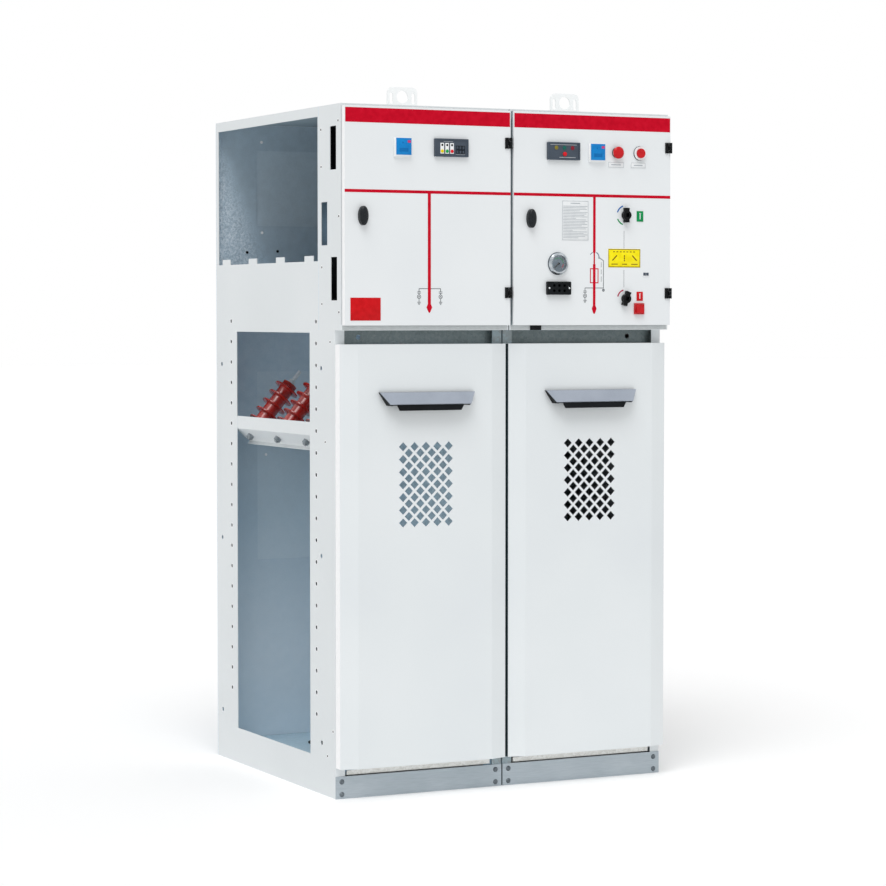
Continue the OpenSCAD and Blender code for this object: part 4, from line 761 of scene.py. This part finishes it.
plate_yellow = print_ink("plate_yellow", "EFDD08", "F6E612", "F9EA2C")
CAUTION = 0.8
plate = bmesh.new()
panel(plate, right_door, 48, 1424, 150, 1475, t=CAUTION, edge=0.35)
piece("right_yellow_plate", plate, plate_yellow, "right_door")
print_brown = print_ink("print_brown", "5A3412", "6B3F17")
lines = bmesh.new()
frame_lines(lines, right_door, 49.5, 1425.5, 148.5, 1473.5, 1.6, CAUTION)
stroke(lines, right_door, (61, 1443), (75, 1457), 3.0, t=INK, base=CAUTION)
for z in (1441, 1447, 1453):
    stroke(lines, right_door, (99, z), (99, z + 4.6), 3.0, t=INK, base=CAUTION)
stroke(lines, right_door, (124, 1457), (138, 1443), 3.0, t=INK, base=CAUTION)
for i in range(7):
    stroke(lines, right_door, (63 + 10.6 * i, 1467), (69 + 10.6 * i, 1467), 2.2, t=INK, base=CAUTION)
for u0, u1 in ((58, 78), (92, 107), (121, 141)):
    stroke(lines, right_door, (u0, 1433), (u1, 1433), 2.2, t=INK, base=CAUTION)
piece("right_yellow_plate_strokes", lines, print_brown, "right_door")


# Knob scales and position windows: printed arcs show where the knobs turn, and two small glazed
# windows show the switch's state, green above and red below, with a plain pale bar.

KNOB_U = 102
print_blue = print_ink("print_blue", "1560A8", "1D6BB4")
print_green = print_ink("print_green", "0A8A4A", "12955A")
print_carmine = print_ink("print_carmine", "A81440", "B41C4A")
for name, ink, z, radius, start, end in (("blue", print_blue, 1568, 26.0, 107, 163),
                                         ("green", print_green, 1568, 26.5, 203, 252),
                                         ("carmine", print_carmine, 1338, 24.0, 103, 166)):
    scale_arc = bmesh.new()
    arc(scale_arc, right_door, (KNOB_U, z), radius, start, end, 3.6)
    piece("knob_scale_" + name, scale_arc, ink, "right_door")

window_green = print_ink("window_green", "087E44", "0A8A4A", "119456")
window_red = print_ink("window_red", "C20E16", "CE141C")
WINDOW = 1.2
for name, ink, u0, z0, u1, z1 in (("green", window_green, 138, 1551, 159, 1580),
                                  ("red", window_red, 138.5, 1332, 158.5, 1357)):
    window = bmesh.new()
    panel(window, right_door, u0, z0, u1, z1, t=WINDOW, edge=0.4)
    piece("position_window_" + name, window, ink, "right_door")
    bars = bmesh.new()
    middle, margin = (u0 + u1) / 2, 0.22 * (z1 - z0)
    foot, top = z0 + margin, z1 - margin
    stroke(bars, right_door, (middle, foot), (middle, top), 2.6, t=INK, base=WINDOW)
    stroke(bars, right_door, (middle - 3, top), (middle + 3, top), 1.6, t=INK, base=WINDOW)
    piece("position_bar_" + name, bars, plate_white, "right_door")


# Counter window: a small dark glazed opening beside the yellow plate, split in two and set in the
# door, with a pale moulded sill.

window = bmesh.new()
for u0, u1 in ((160, 168), (169, 177)):
    panel(window, right_door, u0, 1402, u1, 1410, t=0.7, edge=0.25)
piece("counter_windows", window, slate_plastic, "right_door")
sill = bmesh.new()
panel(sill, right_door, 158, 1399.4, 179, 1401, t=1.4, edge=0.3)
piece("counter_sill", sill, plate_white, "right_door")


# Display modules: white moulded bodies in white bezels, with a blue front that has a darker display
# strip, one small key and a bare pink field.

ROW = 1739
white_plastic = mottled("white_moulding", (500, 2), ("E6E9EB", "F0F2F3"), (0.32, 0.46),
                        cloud=(20, 2), bumps=(0.00008, 0.3), roughness=0.4)
dress(white_plastic, "left_module", "right_module", "button_bezels")
blue_plastic = mottled("blue_front", (400, 2), ("0674BA", "0880C8", "1089D0"), (0.26, 0.4),
                       cloud=(30, 2), share=0.6, roughness=0.34, shine=0.2)
deep_blue = print_ink("display_deep_blue", "0866A8", "096FB4")
mark_pink = print_ink("mark_pink", "C8326A", "D24078")
MODULE = 22.3
FRONT_T = 1.4
FRONT_TOP = 10.4
for door, u in ((left_door, -78), (right_door, 10)):
    bezel = bmesh.new()
    panel(bezel, door, u - 26, ROW - 27.5, u + 24, ROW + 24, t=5, edge=0.8)
    piece(door.body + "_module_bezel", bezel, white_plastic, door.body)
    front = bmesh.new()
    panel(front, door, u - MODULE, ROW - MODULE, u + MODULE, ROW + MODULE,
          t=FRONT_T, base=FRONT_TOP - FRONT_T, edge=0.5)
    piece(door.body + "_module_front", front, blue_plastic, door.body)
    marks = bmesh.new()
    panel(marks, door, u - 13, ROW - 14, u + 13, ROW - 4, t=0.2, base=FRONT_TOP)
    panel(marks, door, u - 5, ROW + 8, u - 1, ROW + 12, t=0.2, base=FRONT_TOP)
    piece(door.body + "_module_display", marks, deep_blue, door.body)
    field = bmesh.new()
    panel(field, door, u + 11, ROW + 10, u + 20, ROW + 16.5, t=0.25, base=FRONT_TOP)
    piece(door.body + "_module_field", field, mark_pink, door.body)


# Live-line indicator: three white lamp strips, each with a test hole and a coloured lens, stand in
# the slate front beside a black block of three sockets.

def turned(bm, foot, profile, axis=(0, -1, 0), steps=36):
    """Turns a profile of (radius, height) pairs in millimetres round an axis through foot."""
    axis = Vector(axis)
    side = axis.orthogonal().normalized()
    line = [bm.verts.new(Vector(foot) + side * r * MM + axis * h * MM) for r, h in profile]
    edges = [bm.edges.new(pair) for pair in zip(line, line[1:])]
    before = set(bm.verts) - set(line)
    bmesh.ops.spin(bm, geom=line + edges, cent=foot, axis=axis, angle=2 * math.pi,
                   steps=steps, use_merge=True)
    settle(bm, [v for v in bm.verts if v not in before])


METER_BASE = 6.5
LIVE_U = 65
STRIPS = (-28.5, -14, 0.5)
STRIP_T = 1.2
TEST_HOLE = [(0, 0), (3.1, 0), (3.1, 0.2), (0, 0.2)]
strips = bmesh.new()
holes = bmesh.new()
for u in STRIPS:
    panel(strips, left_door, LIVE_U + u - 5.4, ROW - 16, LIVE_U + u + 5.4, ROW + 12.5,
          t=STRIP_T, base=METER_BASE, edge=0.4)
    turned(holes, left_door.at(LIVE_U + u, ROW + 7, METER_BASE + STRIP_T), TEST_HOLE, steps=24)
piece("live_line_strips", strips, white_plastic, "left_door")
for u in (17, 26, 35):
    low = left_door.at(LIVE_U + u - 4.3, ROW - 15, METER_BASE)
    high = left_door.at(LIVE_U + u + 4.3, ROW + 5.8, METER_BASE + 1.4)
    size = Matrix.Diagonal((high.x - low.x, low.y - high.y, high.z - low.z, 1.0))
    made = bmesh.ops.create_cube(holes, size=1.0, matrix=Matrix.Translation((low + high) / 2) @ size)
    ends = [f for f in {f for v in made["verts"] for f in v.link_faces} if abs(f.normal.y) > 0.9]
    bmesh.ops.inset_individual(holes, faces=ends, thickness=1.3 * MM)
    mouth = [e for f in ends for e in f.edges]
    bmesh.ops.delete(holes, geom=ends, context="FACES_ONLY")
    bmesh.ops.bridge_loops(holes, edges=mouth)
    settle(holes, holes.verts)
piece("live_line_sockets", holes, black_plastic, "left_door")
lens_yellow = print_ink("lens_yellow", "E8CF00", "F2DA10")
lens_green = print_ink("lens_green", "129A46", "1AA552")
lens_red = print_ink("lens_red", "D8141E", "E01E28")
LENS = [(0, 0), (4.6, 0), (4.6, 0.6), (3.6, 1.3), (1.6, 1.7), (1.5, 1.0), (0, 1.0)]
for u, ink, name in zip(STRIPS, (lens_yellow, lens_green, lens_red), ("yellow", "green", "red")):
    lens = bmesh.new()
    turned(lens, left_door.at(LIVE_U + u, ROW - 9.5, METER_BASE + STRIP_T), LENS, steps=28)
    piece("live_line_lens_" + name, lens, ink, "left_door")
rules = bmesh.new()
stroke(rules, left_door, (LIVE_U - 24, ROW + 16.5), (LIVE_U + 4, ROW + 16.5), 1.0, t=INK, base=METER_BASE)
stroke(rules, left_door, (LIVE_U + 12, ROW - 17.6), (LIVE_U + 40, ROW - 17.6), 0.9, t=INK, base=METER_BASE)
piece("live_line_rules", rules, print_pale, "left_door")


# Fault indicator: three unlit phase lamps in turned rings over the red reset button, all snapped into
# the front of the slate housing.

dress(print_ink("reset_red", "C8141E", "D61F2A"), "fault_reset_button")
FAULT_U = -95
dim_yellow = print_ink("lamp_dim_yellow", "7E7430", "8E8338")
dim_green = print_ink("lamp_dim_green", "155A4E", "1A665A")
dim_red = print_ink("lamp_dim_red", "7C1C2C", "8A2434")
RING = [(3.4, 0), (5.6, 0), (5.6, 0.8), (4.9, 1.3), (3.4, 1.0)]
DOME = [(0, 0), (3.3, 0), (3.3, 0.5), (2.6, 1.2), (1.3, 1.6), (0, 1.7)]
for u, ink, name in zip((-23.5, 1.5, 26.5), (dim_yellow, dim_green, dim_red), ("yellow", "green", "red")):
    lamp = bmesh.new()
    for profile in (RING + RING[:1], DOME):
        turned(lamp, right_door.at(FAULT_U + u, ROW + 9, METER_BASE), profile, steps=28)
    piece("fault_lamp_" + name, lamp, ink, "right_door")
rules = bmesh.new()
stroke(rules, right_door, (FAULT_U - 42, ROW + 17.4), (FAULT_U + 40, ROW + 17.4), 1.4, t=INK, base=METER_BASE)
stroke(rules, right_door, (FAULT_U - 14, ROW - 17), (FAULT_U + 36, ROW - 17), 1.6, t=INK, base=METER_BASE)
piece("fault_rules", rules, print_pale, "right_door")


# Push buttons: glossy red moulded caps. Dark gaskets show under the two white bezels, and the square
# trip button stands in a red frame.

red_plastic = mottled("red_button", (40, 3), ("B40C14", "C21019", "CA1720"), (0.22, 0.36),
                      roughness=0.34, coat=0.1, shine=0.2)
dress(red_plastic, "start_button", "stop_button", "trip_button")
gasket = bmesh.new()
for u, r in ((74, 14.6), (147, 19.4)):
    turned(gasket, right_door.at(u, ROW),
           [(r - 3, 0), (r, 0), (r, 1.6), (r - 0.5, 2.2), (r - 3, 2.2), (r - 3, 0)])
piece("button_gaskets", gasket, black_plastic, "right_door")
TRIP_U, TRIP_Z = 145, 1310
FRAME_T = 6.5
trip_frame = bmesh.new()
for side in (-13.9, 13.9):
    panel(trip_frame, right_door, TRIP_U - 15.4, TRIP_Z + side - 1.5, TRIP_U + 15.4, TRIP_Z + side + 1.5,
          t=FRAME_T, edge=0.6)
    panel(trip_frame, right_door, TRIP_U + side - 1.5, TRIP_Z - 12.4, TRIP_U + side + 1.5, TRIP_Z + 12.4,
          t=FRAME_T, edge=0.6)
piece("trip_frame", trip_frame, red_plastic, "right_door")


# Gas gauge: a turned bezel of polished metal, a dark blue-grey dial with pale ticks and a red end,
# and a flat glass over the needle. A slate ring round its foot on the door is painted shade.

dress(mottled("gauge_chrome", (60, 3), ("9AA2A8", "B4BBC0", "CDD3D7"), (0.1, 0.24),
              roughness=0.16, metallic=1.0), "gauge_case")
GAUGE = (-110, 1433)
dial_paint = Finish("dial_paint", roughness=0.5)
dial_cloud = dial_paint.noise(60, 3)
dial_paint.tint(dial_cloud, "5B6B77", "6C7D8A", "8092A0")
dial = bmesh.new()
turned(dial, right_door.at(*GAUGE, 3.0), [(1.5, 0), (22.7, 0), (22.7, 0.3), (1.5, 0.3), (1.5, 0)], steps=48)
piece("gauge_dial", dial, dial_paint, "right_door")
case_low, case_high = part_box("gauge_case")
case_radius = (case_high.x - case_low.x) / 2 / MM
inner, outer = case_radius - 2, case_radius + 1.1
# Painted shade: a slate ring round the gauge's foot on the door, for the shadow line at the bezel.
gauge_shade_ring = bmesh.new()
turned(gauge_shade_ring, right_door.at(*GAUGE),
       [(inner, 0.02), (outer, 0.02), (outer, 1.2), (inner, 1.2), (inner, 0.02)], steps=48)
piece("gauge_shade_ring", gauge_shade_ring, slate_plastic, "right_door")
DIAL_TOP = 3.3
DIAL_INK = 0.12
TICKS = 20
ticks = bmesh.new()
for i in range(TICKS + 1):
    turn = math.radians(225 - 270 * i / TICKS)
    inner, width = (17.0, 0.9) if i % 5 == 0 else (18.6, 0.5)
    ends = [(GAUGE[0] + r * math.cos(turn), GAUGE[1] + r * math.sin(turn)) for r in (inner, 20.8)]
    stroke(ticks, right_door, *ends, width, t=DIAL_INK, base=DIAL_TOP)
piece("gauge_ticks", ticks, plate_white, "right_door")
for name, ink, start, end in (("red", lens_red, -45, -5), ("green", lens_green, 5, 130)):
    sector = bmesh.new()
    arc(sector, right_door, GAUGE, 15.2, start, end, 1.8, t=DIAL_INK, base=DIAL_TOP)
    piece("gauge_sector_" + name, sector, ink, "right_door")
glass = Finish("gauge_glass", roughness=0.03)
glass.shader.inputs["Base Color"].default_value = (0.96, 0.98, 1.0, 1.0)
glass.shader.inputs["Transmission Weight"].default_value = 1.0
glass.shader.inputs["IOR"].default_value = 1.45
pane = bmesh.new()
turned(pane, right_door.at(*GAUGE, 7.2), [(0, 0), (22.8, 0), (22.8, 0.8), (0, 0.8)], steps=48)
piece("gauge_glass", pane, glass, "right_door")


# Screws: pan heads hold the socket block, and small dark screws sit flush in the box side and in
# the front strip of the left side plate. White rims round its fixing holes and round the small screws
# are painted highlight, and black rings set behind the fixing holes are painted shade inside them.

PAN = [(0, 0), (1, 0), (1, 0.25), (0.75, 0.5), (0.3, 0.6), (0.25, 0.3), (0, 0.3)]
PAN_RADIUS = 2.6
pan_head = [(r * PAN_RADIUS, h * PAN_RADIUS) for r, h in PAN]
heads = bmesh.new()
for u in (-31, 31):
    turned(heads, right_door.at(GAUGE[0] + u, 1366, 10), pan_head, steps=20)
piece("socket_screws", heads, bright_zinc, "right_door")

PLINTH_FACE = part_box("plinths")[0].y
SIDE_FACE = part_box("left_side_plate")[0].x
SIDE_SCREWS = [(90, 1787), (89, 1688), (85, 1420), (85, 1322), (-22, 1805), (-26, 1553), (-26, 1300),
               (32, 1221), (65, 953), (17, 180), (54, 109)]
SIDE_SCREW = [(0, 0), (3.2, 0), (2.6, 0.5), (1.2, 0.6), (1.0, 0.1), (0, 0.1)]
SCREW_HIGHLIGHT_RIM = [(3.3, 0.02), (5.4, 0.02), (5.4, 0.2), (3.3, 0.2), (3.3, 0.02)]
WINDOW_FRONT, WINDOW_REAR = 168, 692
FIX_INSET = 42
FIX_LOW, FIX_PITCH, FIX_COUNT = 213, 59, 19
# Painted highlight: white rims round the holes. Painted shade: black rings set behind the fixing holes.
HOLE_HIGHLIGHT_RIM = [(6.05, 0.02), (7.8, 0.02), (7.8, 0.2), (6.05, 0.2), (6.05, 0.02)]
HOLE_SHADE_RING = [(5.4, -2.05), (8.0, -2.05), (8.0, -7.0), (5.4, -7.0), (5.4, -2.05)]


def on_side(bm, v, z, profile, steps=16):
    """Turns a profile on the left side plate, v back from the plinth's face and z up."""
    turned(bm, (SIDE_FACE, PLINTH_FACE + v * MM, z * MM), profile, axis=(-1, 0, 0), steps=steps)


heads = bmesh.new()
highlight_rims = bmesh.new()
hole_shades = bmesh.new()
for v in (WINDOW_FRONT - FIX_INSET, WINDOW_REAR + FIX_INSET):
    for i in range(FIX_COUNT):
        on_side(highlight_rims, v, FIX_LOW + FIX_PITCH * i, HOLE_HIGHLIGHT_RIM)
        on_side(hole_shades, v, FIX_LOW + FIX_PITCH * i, HOLE_SHADE_RING)
for v, z in SIDE_SCREWS:
    on_side(heads, v, z, SIDE_SCREW, steps=20)
    on_side(highlight_rims, v, z, SCREW_HIGHLIGHT_RIM)
piece("side_screws", heads, black_metal, "cabinet")
piece("hole_highlight_rims", highlight_rims, highlight_white, "cabinet")
piece("hole_shade_rings", hole_shades, black_metal, "cabinet")


# Lower doors: lift-off pans with bevelled margins, powder coated as the rest. A white strip on the left
# door's left edge is painted highlight, and a slate strip on the right door's left edge is painted shade
# in the seam between the doors. The handles have a sloped face of sprayed aluminium over a black
# moulded body.

dress(coat("low_door_powder_coat", "DBE0E3", "DFE4E6", "E3E7E9"), "left_lower_door", "right_lower_door")
LOW_BEVEL = 14 * MM
LOW_OUT = 40 * MM
LOW_FRONT = PLINTH_FACE - LOW_OUT + LOW_BEVEL
# Painted highlight: a white strip on the left lower door's left edge.
edge = bmesh.new()
edge_strip(edge, "left_lower_door", LOW_FRONT, PLINTH_FACE + 1.4 * MM, 0.4 * MM)
piece("left_low_edge_highlight", edge, highlight_white, "left_cable_door")
# Painted shade: a slate strip on the right lower door's left edge, for the shade in the seam.
edge = bmesh.new()
edge_strip(edge, "right_lower_door", LOW_FRONT - 1.3 * MM, PLINTH_FACE + 1.0 * MM,
           1.2 * MM, into=0.7 * MM, edge=0.3 * MM)
seam_shade_slate = print_ink("seam_shade_slate", "1E2C30", "28383D")
piece("right_low_seam_shade", edge, seam_shade_slate, "right_cable_door")
dress(mottled("handle_aluminium", (800, 2), ("8F97A3", "99A1AD", "A4ABB7"), (0.32, 0.46),
              cloud=(12, 2), roughness=0.4, metallic=0.35), "left_handle_face", "right_handle_face")


# Studio: a white floor that keeps the unit's shadow, an even sky that shows white but lights less, and
# one high, very broad light from the front left. The camera stands where the photograph's stood.

floor_paint = Finish("studio_floor", roughness=0.9)
floor_paint.shader.inputs["Base Color"].default_value = (0.96, 0.96, 0.96, 1.0)
FLOOR_HALF = 60.0
floor = bmesh.new()
bmesh.ops.create_grid(floor, x_segments=2, y_segments=2, size=FLOOR_HALF)
mesh = bpy.data.meshes.new("studio_floor")
floor.to_mesh(mesh)
floor.free()
mesh.materials.append(floor_paint.material)
ground = bpy.data.objects.new("studio_floor", mesh)
bpy.context.scene.collection.objects.link(ground)

SKY = 0.55
world = bpy.data.worlds.new("studio_sky")
bpy.context.scene.world = world
world.use_nodes = True
sky = world.node_tree
path = sky.nodes.new("ShaderNodeLightPath")
seen = sky.nodes.new("ShaderNodeMath")
seen.operation = "MAXIMUM"
sky.links.new(path.outputs["Is Camera Ray"], seen.inputs[0])
clear = sky.nodes.new("ShaderNodeMath")
clear.operation = "MAXIMUM"
sky.links.new(path.outputs["Is Glossy Ray"], clear.inputs[0])
sky.links.new(path.outputs["Is Transmission Ray"], clear.inputs[1])
sky.links.new(clear.outputs["Value"], seen.inputs[1])
level = sky.nodes.new("ShaderNodeMapRange")
level.inputs["To Min"].default_value = SKY
level.inputs["To Max"].default_value = 1.0
sky.links.new(seen.outputs["Value"], level.inputs["Value"])
sky.nodes["Background"].inputs["Color"].default_value = (1.0, 1.0, 1.0, 1.0)
sky.links.new(level.outputs["Result"], sky.nodes["Background"].inputs["Strength"])

lamp = bpy.data.lights.new("high_light", "SUN")
lamp.energy = 1.8
lamp.angle = math.radians(40)
high_light = bpy.data.objects.new("high_light", lamp)
high_light.rotation_euler = Vector((0.28, 0.40, -0.87)).to_track_quat("-Z", "Y").to_euler()
bpy.context.scene.collection.objects.link(high_light)

camera = bpy.data.cameras.new("photo_camera")
camera.lens = 113.06
camera.sensor_width = 36.0
camera.sensor_fit = "HORIZONTAL"
eye = bpy.data.objects.new("photo_camera", camera)
eye.location = (-3.5135, -7.1318, 1.2949)
eye.rotation_euler = (math.radians(90 - 2.65), 0, math.radians(-26.301))
bpy.context.scene.collection.objects.link(eye)
bpy.context.scene.camera = eye
bpy.context.scene.view_settings.view_transform = "Standard"
